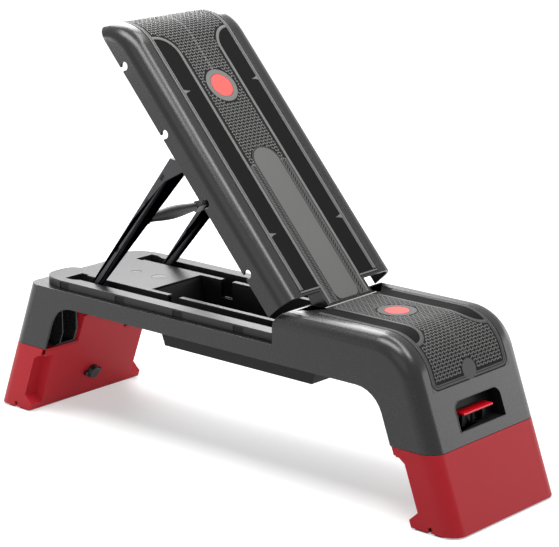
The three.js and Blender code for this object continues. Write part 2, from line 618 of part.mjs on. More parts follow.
/** Where the prop's peg lies in the frame of the lowered backrest, once that has come down by an angle. */
function pegInBackrest(lowered) {
  const raised = PROP_ANGLE - PEG.drop - PROP_RATIO * lowered;
  const x = PROP.x + PEG.reach * Math.cos(raised) - PIVOT.x;
  const z = PROP.z + PEG.reach * Math.sin(raised) - PIVOT.z;
  const [c, s] = [Math.cos(BACK_ANGLE - lowered), Math.sin(BACK_ANGLE - lowered)];
  return [PIVOT.x + x * c - z * s, PIVOT.z + x * s + z * c];
}

/** Rack fin that hangs from the backrest's underside; its edge follows the peg's way out of the notch. */
function rackFin(side) {
  const top = TOP_Z - WALL - FIT;
  const way = [0, 1, 2, 3, 4].map((step) => pegInBackrest(rad(step)));
  const [x, z] = way[0];
  const outline = [
    [x - FIN.left, top], [x - FIN.foot, z - FIN.under / 2], [x - FIN.under / 2, z - FIN.under],
    [x + FIN.hook, z - FIN.under], [x + FIN.hook, z - PEG.r], way[0], way[1],
    [x + FIN.right, z + FIN.rise], [x + FIN.right, top],
  ];
  const gap = PEG.r + FIT;
  const channel = way.slice(1).map(([px, pz], i) => {
    const [qx, qz] = way[i];
    const length = Math.hypot(px - qx, pz - qz);
    const [ox, oz] = [(-(pz - qz) * gap) / length, ((px - qx) * gap) / length];
    const lane = [[qx - ox, qz - oz], [px - ox, pz - oz], [px + ox, pz + oz], [qx + ox, qz + oz]];
    return plate(lane, [-WIDTH, WIDTH]);
  });
  const rounds = way.map(([px, pz]) => rod({ x: px, z: pz }, gap, [-WIDTH, WIDTH], 32));
  const [y0, y1] = side > 0 ? FIN_Y : [-FIN_Y[1], -FIN_Y[0]];
  return cut(plate(outline, [y0, y1]), channel, rounds);
}

// ---------------------------------------------------------------- prop, modelled with its arms level
function propArm(side) {
  const { x, z } = PROP;
  const y = [ARM_Y - ARM_T / 2, ARM_Y + ARM_T / 2];
  const h = ARM_H / 2;
  const tip = { x: x + ARM_LEN, z };
  const peg = { x: x + PEG.reach * Math.cos(PEG.drop), z: z - PEG.reach * Math.sin(PEG.drop) };
  const bar = plate([[x, z - h], [tip.x, z - h], [tip.x, z + h], [x, z + h]], y);
  const toeOutline = [
    [tip.x - TOE.run, z - h + 1], [peg.x - TOE.r / 2, peg.z - TOE.r * 0.87],
    [peg.x + TOE.r, peg.z], [tip.x, z + h - 1],
  ];
  const toe = join(plate(toeOutline, y), rod(peg, TOE.r, y));
  const knuckle = rod(PROP, HUB_R, HUB_Y, 24);
  const nose = rod(peg, PEG.r, [PEG.y0, y[0] + 1], 16);
  const slots = [0.34, 0.7, 0.88].map((share) => {
    const at = x + ARM_LEN * share;
    return box([at - 7, at + 7], [y[0] - 1, y[1] + 1], [z - 3, z + 3]);
  });
  const crossHole = rod({ x: x + GRIP_AT, z }, PIN_R + PIN_PLAY, [0, WIDTH]);
  const arm = cut(join(bar, toe, knuckle, nose), slots, crossHole, rod(PROP, PIN_R + PIN_PLAY, [0, WIDTH]));
  return side > 0 ? arm : arm.mirror([0, 1, 0]);
}

function propGrip() {
  const profile = [];
  const steps = 10;
  for (let i = 0; i <= steps; i += 1) {
    const share = i / steps;
    const r = GRIP_R.end + (GRIP_R.mid - GRIP_R.end) * Math.sin(Math.PI * share) ** 1.5;
    profile.push(new THREE.Vector2(r, -GRIP_HALF + 2 * GRIP_HALF * share));
  }
  const bore = PIN_R + PIN_PLAY;
  profile.push(new THREE.Vector2(bore, GRIP_HALF), new THREE.Vector2(bore, -GRIP_HALF), profile[0].clone());
  const geometry = new THREE.LatheGeometry(profile, 20);
  geometry.translate(PROP.x + GRIP_AT, 0, PROP.z);
  const body = solid(geometry);
  return body.volume() > 0 ? body : solid(geometry.scale(-1, 1, 1));
}

function gripBracket(side) {
  const at = { x: PROP.x + GRIP_AT, z: PROP.z };
  const inner = GRIP_HALF + FIT;
  const outer = ARM_Y - ARM_T / 2 - FIT;
  const mid = inner + (outer - inner) * 0.4;
  const outline = [
    [BRACKET.root0, outer], [BRACKET.root0 + 4, outer - 6], [-BRACKET.tip - 3, mid], [-BRACKET.tip, inner],
    [BRACKET.tip, inner], [BRACKET.tip, mid], [BRACKET.root1, outer],
  ];
  const block = slab(outline.map(([x, y]) => [at.x + x, y]), [at.z - BRACKET.rise, at.z + BRACKET.rise]);
  const body = cut(block, rod(at, PIN_R + PIN_PLAY, [0, WIDTH]));
  return side > 0 ? body : body.mirror([0, 1, 0]);
}

// ---------------------------------------------------------------- legs, modelled at the +X end
const LEG_TOP_Z = SEAM_Z - 2 * FIT;
const CORD = { x: FOOT_HALF - FROM_FOOT.keyhole, z: 10, r: 4, slit: 2 };   // keyholes in the legs' sides

/** Points of the corner step in a leg's inner side, from below upwards, set in by t. */
function stepEdge(t) {
  return [
    inEnd(RED_DEPTH - t, STEP.z0 - t / 2), inEnd(STEP_DEPTH - t, STEP.z0 + STEP.run),
    inEnd(STEP_DEPTH - t, STEP.z1 - STEP.rise), inEnd(STEP_DEPTH + STEP.rise - t, STEP.z1 + t),
    inEnd(RED_DEPTH - t, STEP.z1 + t),
  ];
}

function legShell() {
  const floorZ = PAD_T;
  const run = sweep(facePath(SEAM_Z + SHOULDER_R, -SHOULDER_R), lid(STEP_DEPTH));
  const between = box([0, 2 * FOOT_HALF], [-WIDTH, WIDTH], [floorZ, LEG_TOP_Z]);
  const side = [
    inEnd(SIDE_IN, floorZ), inEnd(RED_DEPTH, floorZ), ...stepEdge(0).slice(0, -1),
    inEnd(RED_TOP_DEPTH, STEP.z1), inEnd(RED_TOP_DEPTH, LEG_TOP_Z), inEnd(SIDE_IN, LEG_TOP_Z),
  ];
  const sides = platePair(side, [WIDTH / 2 - WALL, WIDTH / 2]);
  const block = (d0, d1, z0, z1) => [inEnd(d0, z0), inEnd(d0, z1), inEnd(d1, z1), inEnd(d1, z0)];
  const plates = [[LEG_TOP_Z - PANEL_T, LEG_TOP_Z], [floorZ, floorZ + PANEL_T]].map(([z0, z1]) => join(
    plate(block(RED_DEPTH, WALL / 2, z0, z1), [-FLAT_HALF, FLAT_HALF]),
    platePair(block(RED_DEPTH, SHOULDER_R, z0, z1), [FLAT_HALF - WALL, WIDTH / 2 - WALL / 2 - FIT]),
  ));
  const rim = block(RED_DEPTH + WALL, RED_TOP_DEPTH, STEP.z1, SEAM_Z + WALL);
  const rimCut = platePair(rim, [WIDTH / 2 - WALL, WIDTH]);
  const neckWay = box(
    [inEnd(RED_DEPTH + SLIDE, LEG_TOP_Z)[0], inEnd(NECK_DEPTH - SLIDE, LEG_TOP_Z - 2 * PANEL_T)[0]],
    [-NECK_HALF - FIT, NECK_HALF + FIT], [LEG_TOP_Z - 2 * PANEL_T, SEAM_Z],
  );
  const slit = box([CORD.x - CORD.slit, CORD.x + CORD.slit], [-WIDTH, WIDTH], [0, CORD.z]);
  const keyhole = join(rod(CORD, CORD.r, [-WIDTH, WIDTH], 14), slit);
  return cut(join(run.intersect(between), sides, plates), rimCut, neckWay, keyhole);
}

function legCover() {
  const t = PANEL_T;
  const low = PAD_T + t + FIT;
  const high = LEG_TOP_Z - t - FIT;
  const inner = WIDTH / 2 - WALL - FIT;
  const faceOutline = [
    inEnd(RED_DEPTH, low), inEnd(RED_DEPTH, high), inEnd(RED_DEPTH - t, high), inEnd(RED_DEPTH - t, low),
  ];
  const face = plate(faceOutline, [-STEP.in, STEP.in]);
  const wing = [
    inEnd(RED_DEPTH, low), ...stepEdge(0), inEnd(RED_DEPTH, high),
    inEnd(RED_DEPTH - t, high), ...stepEdge(t).reverse(), inEnd(RED_DEPTH - t, low),
  ];
  const web = [...stepEdge(0), ...stepEdge(t).reverse().slice(1, -1)];
  const stepFill = [...stepEdge(0).slice(1, -1), inEnd(RED_DEPTH, STEP.z1), inEnd(RED_DEPTH, STEP.z0)];
  const flank = [STEP.in - t, inner];
  const fill = platePair(stepFill, [STEP.in - t, STEP.in]);
  const steps = join(platePair(wing, flank), platePair(web, flank), fill);

  const root = LEG_TOP_Z - 3 * NECK_T;
  const atPin = (depth) => inEnd(depth, LEG_PIN.z + (pinDepth - depth) * Math.sin(END_LEAN));
  const neckSide = (d) => [inEnd(RED_DEPTH, root), atPin(RED_DEPTH), atPin(d), inEnd(d, root)];
  const neckPlate = plate(neckSide(RED_DEPTH - NECK_T), [-NECK_HALF, NECK_HALF]);
  const cheeks = [[NECK_HALF - NECK_T, NECK_HALF], [-NECK_HALF, NECK_T - NECK_HALF]].map((y) => (
    join(plate(neckSide(NECK_DEPTH), y), rod(LEG_PIN, NECK_HUB_R, y, 32))
  ));
  return cut(join(face, steps, neckPlate, cheeks), rod(LEG_PIN, PIN_R + PIN_PLAY, [-WIDTH, WIDTH]));
}

const pinDepth = (endX(LEG_PIN.z) - LEG_PIN.x) * Math.cos(END_LEAN);

/** Thumb knob with two ears across the bench, its axis square to the leg's inner face. */
function legKnob() {
  const [x, z] = inEnd(RED_DEPTH + FIT + KNOB.t / 2, KNOB.z);
  const disc = new THREE.CylinderGeometry(KNOB.r * 0.82, KNOB.r, KNOB.t, 24);
  const ears = new THREE.BoxGeometry(KNOB.ear, KNOB.t * 0.6, KNOB.span);
  ears.translate(0, -KNOB.t * 0.2, 0);
  return join([disc, ears].map((geometry) => {
    geometry.rotateY(Math.PI / 2);
    geometry.rotateZ(Math.PI / 2);
    geometry.rotateY(-END_LEAN);
    geometry.translate(x, 0, z);
    return solid(geometry);
  }));
}

function footPad(side) {
  const y = [PAD_IN, WIDTH / 2 - PAD_T];
  const x0 = inEnd(RED_DEPTH - 2 * PAD_T, 0)[0];
  const x1 = endX(0) - SHOULDER_R + 2 * PAD_T;
  const shape = new THREE.Shape();
  shape.moveTo(x0, y[0]);
  shape.lineTo(x1, y[0]);
  shape.lineTo(x1, FLAT_HALF);
  shape.quadraticCurveTo(x1, y[1], x1 - SHOULDER_R / 2, y[1]);
  shape.lineTo(x0, y[1]);
  const keyhole = box([CORD.x - 2 * CORD.r, CORD.x + 2 * CORD.r], [y[1] - 3 * CORD.r, WIDTH], [-1, PAD_T]);
  const pad = cut(slab(shape, [0, PAD_T - FIT]), keyhole);
  return side > 0 ? pad : pad.mirror([0, 1, 0]);
}

// ---------------------------------------------------------------- leg latch, modelled at the +X end
const CUP_Z = { low: HAND.z0 - CUP.margin, high: HAND.z1 + CUP.margin };

const levelCut = (body, z0, z1) => body.intersect(box([0, 2 * FOOT_HALF], [-WIDTH, WIDTH], [z0, z1]));

function handleCup() {
  const face = facePath(CUP_Z.low - 20, CUP_Z.high + 20);
  const half = HAND.half + CUP.margin;
  const outer = levelCut(sweep(face, strip(half, WALL + FIT, CUP.depth)), CUP_Z.low, CUP_Z.high);
  const hollow = sweep(face, strip(half - CUP.t, 0, CUP.depth - CUP.t));
  const inner = levelCut(hollow, CUP_Z.low + CUP.t, CUP_Z.high - CUP.t);
  const floor = [CUP_Z.low - 1, CUP_Z.low + CUP.t + 1];
  const reach = PRONG.w / 2 + SLIDE;
  const ways = [-PRONG.y, PRONG.y].map((y) => box(prongX(SLIDE), [y - reach, y + reach], floor));
  const stemWay = post({ x: stemX(), y: 0 }, STEM.r + SLIDE / 2, floor);
  return cut(outer, inner, ways, stemWay);
}

const STEM = { r: 3.5, collar: 7.5, collarT: 2 };
const SPRING = { r: 6, wire: 0.7, turns: 4 };
const BOLT_FOOT_Z = SEAM_Z + 0.6;
const prongX = (gap) => {
  const outerEdge = inEnd(PRONG.depth0, LEVER.z)[0];
  return [outerEdge - (PRONG.depth1 - PRONG.depth0) - gap, outerEdge + gap];
};
const stemX = () => inEnd((PRONG.depth0 + PRONG.depth1) / 2, LEVER.z)[0];

/** Red finger plate, level across the hand hold, with rounded inner corners. */
function latchLever() {
  const front = inEnd(LEVER.front, LEVER.z + LEVER.t)[0];
  const back = front - (LEVER.back - LEVER.front);
  const r = LEVER.t * 2;
  const shape = new THREE.Shape();
  shape.moveTo(front, -LEVER.half);
  shape.lineTo(front, LEVER.half);
  shape.lineTo(back + r, LEVER.half);
  shape.quadraticCurveTo(back, LEVER.half, back, LEVER.half - r);
  shape.lineTo(back, r - LEVER.half);
  shape.quadraticCurveTo(back, -LEVER.half, back + r, -LEVER.half);
  return slab(shape, [LEVER.z, LEVER.z + LEVER.t], 3);
}

/** Bolt under the finger plate: a bar, two prongs and the stem for the spring. */
function latchBolt() {
  const top = LEVER.z - FIT;
  const [x0, x1] = prongX(0);
  const bar = box([x0, x1], [-PRONG.y - PRONG.w / 2, PRONG.y + PRONG.w / 2], [top - PRONG.bar, top]);
  const reach = PRONG.w / 2;
  const prongs = [-PRONG.y, PRONG.y].map((y) => box([x0, x1], [y - reach, y + reach], [BOLT_FOOT_Z, top - 1]));
  const stem = post({ x: stemX(), y: 0 }, STEM.r, [BOLT_FOOT_Z, top - 1]);
  const collar = post({ x: stemX(), y: 0 }, STEM.collar, [BOLT_FOOT_Z, BOLT_FOOT_Z + STEM.collarT]);
  return join(bar, prongs, stem, collar);
}

class Helix extends THREE.Curve {
  constructor(place, r, z0, z1, turns) {
    super();
    Object.assign(this, { place, r, z0, z1, turns });
  }

  getPoint(t, target = new THREE.Vector3()) {
    const a = 2 * Math.PI * this.turns * t;
    const z = this.z0 + (this.z1 - this.z0) * t;
    return target.set(this.place.x + this.r * Math.cos(a), this.r * Math.sin(a), z);
  }
}

function latchSpring() {
  const z0 = BOLT_FOOT_Z + STEM.collarT + SPRING.wire + FIT;
  const z1 = CUP_Z.low - SPRING.wire - FIT;
  const wire = new THREE.Shape().absarc(0, 0, SPRING.wire, 0, 2 * Math.PI, false);
  const path = new Helix({ x: stemX() }, SPRING.r, z0, z1, SPRING.turns);
  const options = { steps: 12 * SPRING.turns, curveSegments: 3, extrudePath: path };
  return solid(new THREE.ExtrudeGeometry(wire, options));
}

// ---------------------------------------------------------------- assembly
const bench = new THREE.Group();

function place(group, name, body, material) {
  const mesh = new THREE.Mesh(geometryOf(body), materials[material]);
  mesh.name = name;
  group.add(mesh);
}

/** A nested group turned about a hinge axis across the bench. */
function hinged({ x, z }, angle) {
  const outer = new THREE.Group();
  outer.position.set(x, 0, z);
  outer.rotation.y = angle;
  const inner = new THREE.Group();
  inner.position.set(-x, 0, -z);
  outer.add(inner);
  bench.add(outer);
  return inner;
}

const ends = [['right', 0], ['left', Math.PI]];

place(bench, 'body_shell', bodyShell(), 'black');
place(bench, 'deck_panel', deckPanel(), 'black');
place(bench, 'storage_tray', storageTray(), 'inner');
place(bench, 'seat_mat', seatMat(), 'rubber');
place(bench, 'seat_mat_dot', dot(SEAT_DOT_X), 'coral');
const pinHalf = SLOT_HALF + PANEL_T - FIT;
place(bench, 'backrest_hinge_pin', rod(PIVOT, PIN_R, [-pinHalf, pinHalf]), 'steel');
for (const [name, side] of [['far', 1], ['near', -1]]) {
  const ys = [GROOVE_IN - TROUGH_T, GROOVE_OUT + TROUGH_T].map((y) => side * y).sort((a, b) => a - b);
  place(bench, `prop_pivot_pin_${name}`, rod(PROP, PIN_R, ys), 'steel');
}
SCREWS.forEach((at, i) => {
  const shank = post(at, SCREW.r, [LEDGE_Z - WALL - FIT, PANEL_TOP_Z - PANEL_T - 3]);
  const head = post(at, SCREW.head, [LEDGE_Z - WALL - FIT - SCREW.headT, LEDGE_Z - WALL - FIT]);
  place(bench, `panel_screw_${i + 1}`, join(shank, head), 'steel');
});

const back = hinged(PIVOT, BACK_ANGLE);
place(back, 'backrest_shell', backrestShell(), 'black');
place(back, 'backrest_ribs', backrestRibs(), 'inner');
place(back, 'backrest_mat', backMat(), 'rubber');
place(back, 'backrest_mat_dot', dot(BACK_DOT_X), 'coral');
place(back, 'backrest_badge', slab(badgeOutline(0), [TOP_Z - DOT_T, TOP_Z], 10), 'badge');
place(back, 'rack_fin_far', rackFin(1), 'inner');
place(back, 'rack_fin_near', rackFin(-1), 'inner');

const prop = hinged(PROP, -PROP_ANGLE);
place(prop, 'prop_arm_far', propArm(1), 'coated');
place(prop, 'prop_arm_near', propArm(-1), 'coated');
place(prop, 'prop_grip', propGrip(), 'rubber');
place(prop, 'grip_bracket_far', gripBracket(1), 'black');
place(prop, 'grip_bracket_near', gripBracket(-1), 'black');
const crossHalf = ARM_Y + ARM_T / 2;
const gripAxis = { x: PROP.x + GRIP_AT, z: PROP.z };
place(prop, 'grip_crossbar', rod(gripAxis, PIN_R, [-crossHalf, crossHalf]), 'steel');

for (const [name, turn] of ends) {
  const end = new THREE.Group();
  end.rotation.z = turn;
  bench.add(end);
  place(end, `leg_shell_${name}`, legShell(), 'red');
  place(end, `leg_cover_${name}`, legCover(), 'red');
  place(end, `leg_knob_${name}`, legKnob(), 'black');
  place(end, `foot_pad_${name}_a`, footPad(1), 'rubber');
  place(end, `foot_pad_${name}_b`, footPad(-1), 'rubber');
  const ribOut = RIB_IN + WALL - FIT;
  place(end, `leg_hinge_pin_${name}`, rod(LEG_PIN, PIN_R, [-ribOut, ribOut]), 'steel');
  place(end, `handle_cup_${name}`, handleCup(), 'inner');
  place(end, `latch_lever_${name}`, latchLever(), 'lever');
  place(end, `latch_bolt_${name}`, latchBolt(), 'inner');
  place(end, `latch_spring_${name}`, latchSpring(), 'steel');
}

export default bench;
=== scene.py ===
"""Looks of the folding exercise bench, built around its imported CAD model.

Lengths are in metres, in the frame of the CAD: +X runs along the bench to the seat
end, Y across it, +Z up, and the floor is at z = 0.
"""

import json
import logging
import math
from dataclasses import dataclass, field
from enum import Enum
from typing import Callable, Sequence

import bpy
import numpy as np
from mathutils import Matrix, Vector
from mathutils.bvhtree import BVHTree
from mathutils.kdtree import KDTree
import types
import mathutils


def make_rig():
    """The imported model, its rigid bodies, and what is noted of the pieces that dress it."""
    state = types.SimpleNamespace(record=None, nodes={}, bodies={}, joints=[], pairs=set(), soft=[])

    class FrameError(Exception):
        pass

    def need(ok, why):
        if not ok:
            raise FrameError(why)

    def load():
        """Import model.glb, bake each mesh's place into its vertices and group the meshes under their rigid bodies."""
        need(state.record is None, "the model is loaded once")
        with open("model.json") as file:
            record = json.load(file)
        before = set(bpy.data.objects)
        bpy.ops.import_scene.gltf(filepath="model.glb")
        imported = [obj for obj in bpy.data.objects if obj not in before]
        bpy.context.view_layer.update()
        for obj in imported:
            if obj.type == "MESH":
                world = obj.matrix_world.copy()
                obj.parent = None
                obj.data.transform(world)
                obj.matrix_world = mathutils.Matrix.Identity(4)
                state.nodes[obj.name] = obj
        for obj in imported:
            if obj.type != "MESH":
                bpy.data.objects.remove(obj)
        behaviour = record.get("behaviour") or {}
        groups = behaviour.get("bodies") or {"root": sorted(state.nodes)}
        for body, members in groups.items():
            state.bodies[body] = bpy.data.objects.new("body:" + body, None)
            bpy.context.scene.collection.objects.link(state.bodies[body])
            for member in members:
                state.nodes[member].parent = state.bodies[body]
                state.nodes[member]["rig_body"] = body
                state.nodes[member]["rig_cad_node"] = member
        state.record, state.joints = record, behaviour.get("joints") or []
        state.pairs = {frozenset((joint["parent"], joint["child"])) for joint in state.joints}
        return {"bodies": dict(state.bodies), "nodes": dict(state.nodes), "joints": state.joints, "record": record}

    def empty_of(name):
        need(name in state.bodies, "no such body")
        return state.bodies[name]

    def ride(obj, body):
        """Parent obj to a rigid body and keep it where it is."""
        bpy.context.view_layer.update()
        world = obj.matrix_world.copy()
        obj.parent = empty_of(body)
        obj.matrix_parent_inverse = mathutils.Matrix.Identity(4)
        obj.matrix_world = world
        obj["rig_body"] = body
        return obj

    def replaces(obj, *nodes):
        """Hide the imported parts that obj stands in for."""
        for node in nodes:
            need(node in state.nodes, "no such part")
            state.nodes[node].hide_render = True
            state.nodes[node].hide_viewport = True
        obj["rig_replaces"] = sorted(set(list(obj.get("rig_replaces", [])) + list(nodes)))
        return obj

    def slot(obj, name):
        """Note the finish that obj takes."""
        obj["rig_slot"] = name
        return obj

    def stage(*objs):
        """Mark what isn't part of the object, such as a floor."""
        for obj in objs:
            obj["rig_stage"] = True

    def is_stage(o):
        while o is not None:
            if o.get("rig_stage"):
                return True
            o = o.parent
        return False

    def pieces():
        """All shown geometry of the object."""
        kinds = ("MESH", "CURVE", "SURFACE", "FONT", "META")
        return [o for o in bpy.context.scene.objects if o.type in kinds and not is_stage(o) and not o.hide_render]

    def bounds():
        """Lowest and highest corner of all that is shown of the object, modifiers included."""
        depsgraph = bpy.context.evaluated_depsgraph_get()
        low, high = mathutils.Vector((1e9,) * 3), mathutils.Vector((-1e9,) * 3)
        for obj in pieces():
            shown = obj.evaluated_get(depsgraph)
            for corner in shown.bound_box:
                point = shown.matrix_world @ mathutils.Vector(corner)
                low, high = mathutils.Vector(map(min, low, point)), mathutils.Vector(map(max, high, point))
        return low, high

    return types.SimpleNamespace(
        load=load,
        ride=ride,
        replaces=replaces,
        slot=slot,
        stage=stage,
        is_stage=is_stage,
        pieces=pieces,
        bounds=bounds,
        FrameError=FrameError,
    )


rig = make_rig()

LOG = logging.getLogger("bench")
MM = 0.001
FULL_TURN = 2 * math.pi
DOUBLES = 1e-6
SIDES = ((1, "far"), (-1, "near"))
Point2 = tuple[float, float]
Point3 = tuple[float, float, float]
Edge = Callable[[np.ndarray], np.ndarray]
Place = Callable[[np.ndarray, np.ndarray], np.ndarray]
Mapping = Callable[[np.ndarray, np.ndarray, np.ndarray], np.ndarray]


# ---------------------------------------------------------------- working with operators
def pick(*objects: bpy.types.Object) -> None:
    """Deselects everything, then selects some objects.

    Args:
        objects: what gets selected; the first one is made active.
    """
    if bpy.context.object and bpy.context.object.mode != "OBJECT":
        bpy.ops.object.mode_set(mode="OBJECT")
    bpy.ops.object.select_all(action="DESELECT")
    for obj in objects:
        obj.select_set(True)
    bpy.context.view_layer.objects.active = objects[0]


def add_modifier(obj: bpy.types.Object, kind: str, **settings: object) -> None:
    """Adds a modifier with these settings and applies it at once.

    Args:
        obj: the mesh object.
        kind: Blender's modifier type.
        settings: values of the modifier's own properties.
    """
    pick(obj)
    modifier = obj.modifiers.new(kind.lower(), kind)
    for key, value in settings.items():
        setattr(modifier, key, value)
    bpy.ops.object.modifier_apply(modifier=modifier.name)


def points_of(obj: bpy.types.Object) -> np.ndarray:
    """Reads the mesh's vertices.

    Args:
        obj: the mesh object.

    Returns:
        Their places as an n by 3 array.
    """
    flat = np.empty(len(obj.data.vertices) * 3)
    obj.data.vertices.foreach_get("co", flat)
    return flat.reshape(-1, 3)


def move_points(obj: bpy.types.Object, points: np.ndarray) -> None:
    """Puts the mesh's vertices at these places."""
    obj.data.vertices.foreach_set("co", points.ravel())
    obj.data.update()


def settle(obj: bpy.types.Object) -> None:
    """Applies place, turn and scale, so that the object sits at the origin."""
    pick(obj)
    bpy.ops.object.transform_apply(location=True, rotation=True, scale=True)


def smooth(obj: bpy.types.Object, degrees: float = 32.0) -> None:
    """Shades the mesh smooth where its faces meet at less than this angle."""
    pick(obj)
    bpy.ops.object.shade_smooth_by_angle(angle=math.radians(degrees))


def face_out(obj: bpy.types.Object) -> None:
    """Merges doubles, then turns all faces outwards.

    Args:
        obj: the mesh object, closed or a flat sheet.
    """
    pick(obj)
    bpy.ops.object.mode_set(mode="EDIT")
    bpy.ops.mesh.select_all(action="SELECT")
    bpy.ops.mesh.remove_doubles(threshold=DOUBLES)
    bpy.ops.mesh.normals_make_consistent(inside=False)
    bpy.ops.object.mode_set(mode="OBJECT")


def drop_normals(obj: bpy.types.Object) -> None:
    """Drops the mesh's custom normals, where it has any.

    Args:
        obj: the mesh object, which is left as the active one.
    """
    pick(obj)
    if obj.data.has_custom_normals:
        bpy.ops.mesh.customdata_custom_splitnormals_clear()


def even_shading(obj: bpy.types.Object, degrees: float) -> None:
    """Shades the mesh by angle, with its normals weighted by the faces' areas."""
    smooth(obj, degrees)
    add_modifier(obj, "WEIGHTED_NORMAL", keep_sharp=True, weight=80)


def put_in_order(obj: bpy.types.Object) -> None:
    """Sorts the mesh's vertices and faces by place, because a boolean leaves them in any order.

    Args:
        obj: the mesh object.
    """
    points, unsorted = points_of(obj), obj.data
    order = np.lexsort(points.T)
    rank = np.argsort(order)
    faces = []
    for face in unsorted.polygons:
        loop = [int(rank[i]) for i in face.vertices]
        first = loop.index(min(loop))
        faces.append(loop[first:] + loop[:first])
    obj.data = bpy.data.meshes.new(obj.name)
    obj.data.from_pydata(points[order].tolist(), [], sorted(faces))
    for material in unsorted.materials:
        obj.data.materials.append(material)
    bpy.data.meshes.remove(unsorted)


def box(name: str, place: Sequence[float], size: Sequence[float],
        turn: Sequence[float] = (0.0, 0.0, 0.0)) -> bpy.types.Object:
    """Adds a box.

    Args:
        name: the box's name.
        place: its centre.
        size: its three lengths.
        turn: its angles about X, Y and Z, in radians.

    Returns:
        The box, with its place and turn in its mesh.
    """
    bpy.ops.object.select_all(action="DESELECT")
    bpy.ops.mesh.primitive_cube_add(size=1.0, location=place, rotation=turn, scale=size)
    obj = bpy.context.object
    obj.name = name
    settle(obj)
    return obj


# ---------------------------------------------------------------- finishes
class Groups:
    """Shader node groups that several materials share."""

    GRAIN = "moulded_grain"
    WEAR = "handling_wear"
    GRAIN_DETAIL = 3.0
    PATCH_SCALE, PATCH_DETAIL = 9.0, 6.0
    SCUFF_SCALE, SCUFF_DETAIL = 160.0, 2.0
    GLOSS_SWING = 0.12

    @staticmethod
    def _new(name: str, inputs: Sequence[tuple[str, str, float]],
             outputs: Sequence[tuple[str, str]]) -> tuple[bpy.types.NodeTree, bpy.types.Node, bpy.types.Node]:
        """Makes an empty group with named sockets.

        Args:
            name: the group's name.
            inputs: name, socket type and default of each input.
            outputs: name and socket type of each output.

        Returns:
            The group with its input node and output node.
        """
        group = bpy.data.node_groups.new(name, "ShaderNodeTree")
        for label, kind, default in inputs:
            socket = group.interface.new_socket(label, in_out="INPUT", socket_type=kind)
            if kind == "NodeSocketFloat":
                socket.default_value = default
        for label, kind in outputs:
            group.interface.new_socket(label, in_out="OUTPUT", socket_type=kind)
        return group, group.nodes.new("NodeGroupInput"), group.nodes.new("NodeGroupOutput")

    @classmethod
    def grain(cls) -> bpy.types.NodeTree:
        """Fine pebbled grain of a moulding: a height and a small change of gloss.

        Returns:
            The group, made once.
        """
        if cls.GRAIN in bpy.data.node_groups:
            return bpy.data.node_groups[cls.GRAIN]
        group, source, result = cls._new(
            cls.GRAIN,
            [("Vector", "NodeSocketVector", 0), ("Scale", "NodeSocketFloat", 900.0),
             ("Pebbles", "NodeSocketFloat", 0.6)],
            [("Height", "NodeSocketFloat"), ("Gloss", "NodeSocketFloat")],
        )
        nodes, links = group.nodes, group.links
        cells = nodes.new("ShaderNodeTexVoronoi")
        cells.feature = "SMOOTH_F1"
        noise = nodes.new("ShaderNodeTexNoise")
        noise.inputs["Detail"].default_value = cls.GRAIN_DETAIL
        for label in ("Vector", "Scale"):
            links.new(source.outputs[label], cells.inputs[label])
            links.new(source.outputs[label], noise.inputs[label])
        mix = nodes.new("ShaderNodeMix")
        links.new(source.outputs["Pebbles"], mix.inputs["Factor"])
        links.new(noise.outputs["Fac"], mix.inputs["A"])
        links.new(cells.outputs["Distance"], mix.inputs["B"])
        links.new(mix.outputs["Result"], result.inputs["Height"])
        links.new(noise.outputs["Fac"], result.inputs["Gloss"])
        return group

    @classmethod
    def wear(cls) -> bpy.types.NodeTree:
        """Soft large patches and fine scuffs: a colour, and a roughness that follows them.

        Returns:
            The group, made once.
        """
        if cls.WEAR in bpy.data.node_groups:
            return bpy.data.node_groups[cls.WEAR]
        group, source, result = cls._new(
            cls.WEAR,
            [("Vector", "NodeSocketVector", 0), ("Colour", "NodeSocketColor", 0),
             ("Amount", "NodeSocketFloat", 0.1), ("Roughness", "NodeSocketFloat", 0.5),
             ("Gloss", "NodeSocketFloat", 0.5)],
            [("Colour", "NodeSocketColor"), ("Roughness", "NodeSocketFloat")],
        )
        nodes, links = group.nodes, group.links
        marks = []
        for size, detail in ((cls.PATCH_SCALE, cls.PATCH_DETAIL), (cls.SCUFF_SCALE, cls.SCUFF_DETAIL)):
            noise = nodes.new("ShaderNodeTexNoise")
            noise.inputs["Scale"].default_value = size
            noise.inputs["Detail"].default_value = detail
            links.new(source.outputs["Vector"], noise.inputs["Vector"])
            marks.append(noise.outputs["Fac"])
        centred = cls._math(group, "SUBTRACT", cls._math(group, "ADD", *marks), 1.0)
        swing = cls._math(group, "MULTIPLY", centred, source.outputs["Amount"])
        factor = cls._math(group, "MULTIPLY_ADD", swing, 2.0, 1.0)
        scale = nodes.new("ShaderNodeVectorMath")
        scale.operation = "SCALE"
        links.new(source.outputs["Colour"], scale.inputs[0])
        links.new(factor, scale.inputs["Scale"])
        links.new(scale.outputs["Vector"], result.inputs["Colour"])
        gloss = source.outputs["Gloss"]
        fine = cls._math(group, "MULTIPLY_ADD", gloss, cls.GLOSS_SWING, -cls.GLOSS_SWING / 2)
        rough = cls._math(group, "ADD", source.outputs["Roughness"], fine)
        links.new(cls._math(group, "ADD", rough, swing), result.inputs["Roughness"])
        return group

    @staticmethod
    def _math(group: bpy.types.NodeTree, operation: str, *values: object) -> bpy.types.NodeSocket:
        """Adds a math node to a group.

        Args:
            group: the node group.
            operation: the math node's operation.
            values: its inputs, each a socket to link or a number.

        Returns:
            The node's output socket.
        """
        node = group.nodes.new("ShaderNodeMath")
        node.operation = operation
        for socket, value in zip(node.inputs, values):
            if isinstance(value, bpy.types.NodeSocket):
                group.links.new(value, socket)
            else:
                socket.default_value = value
        return node.outputs["Value"]


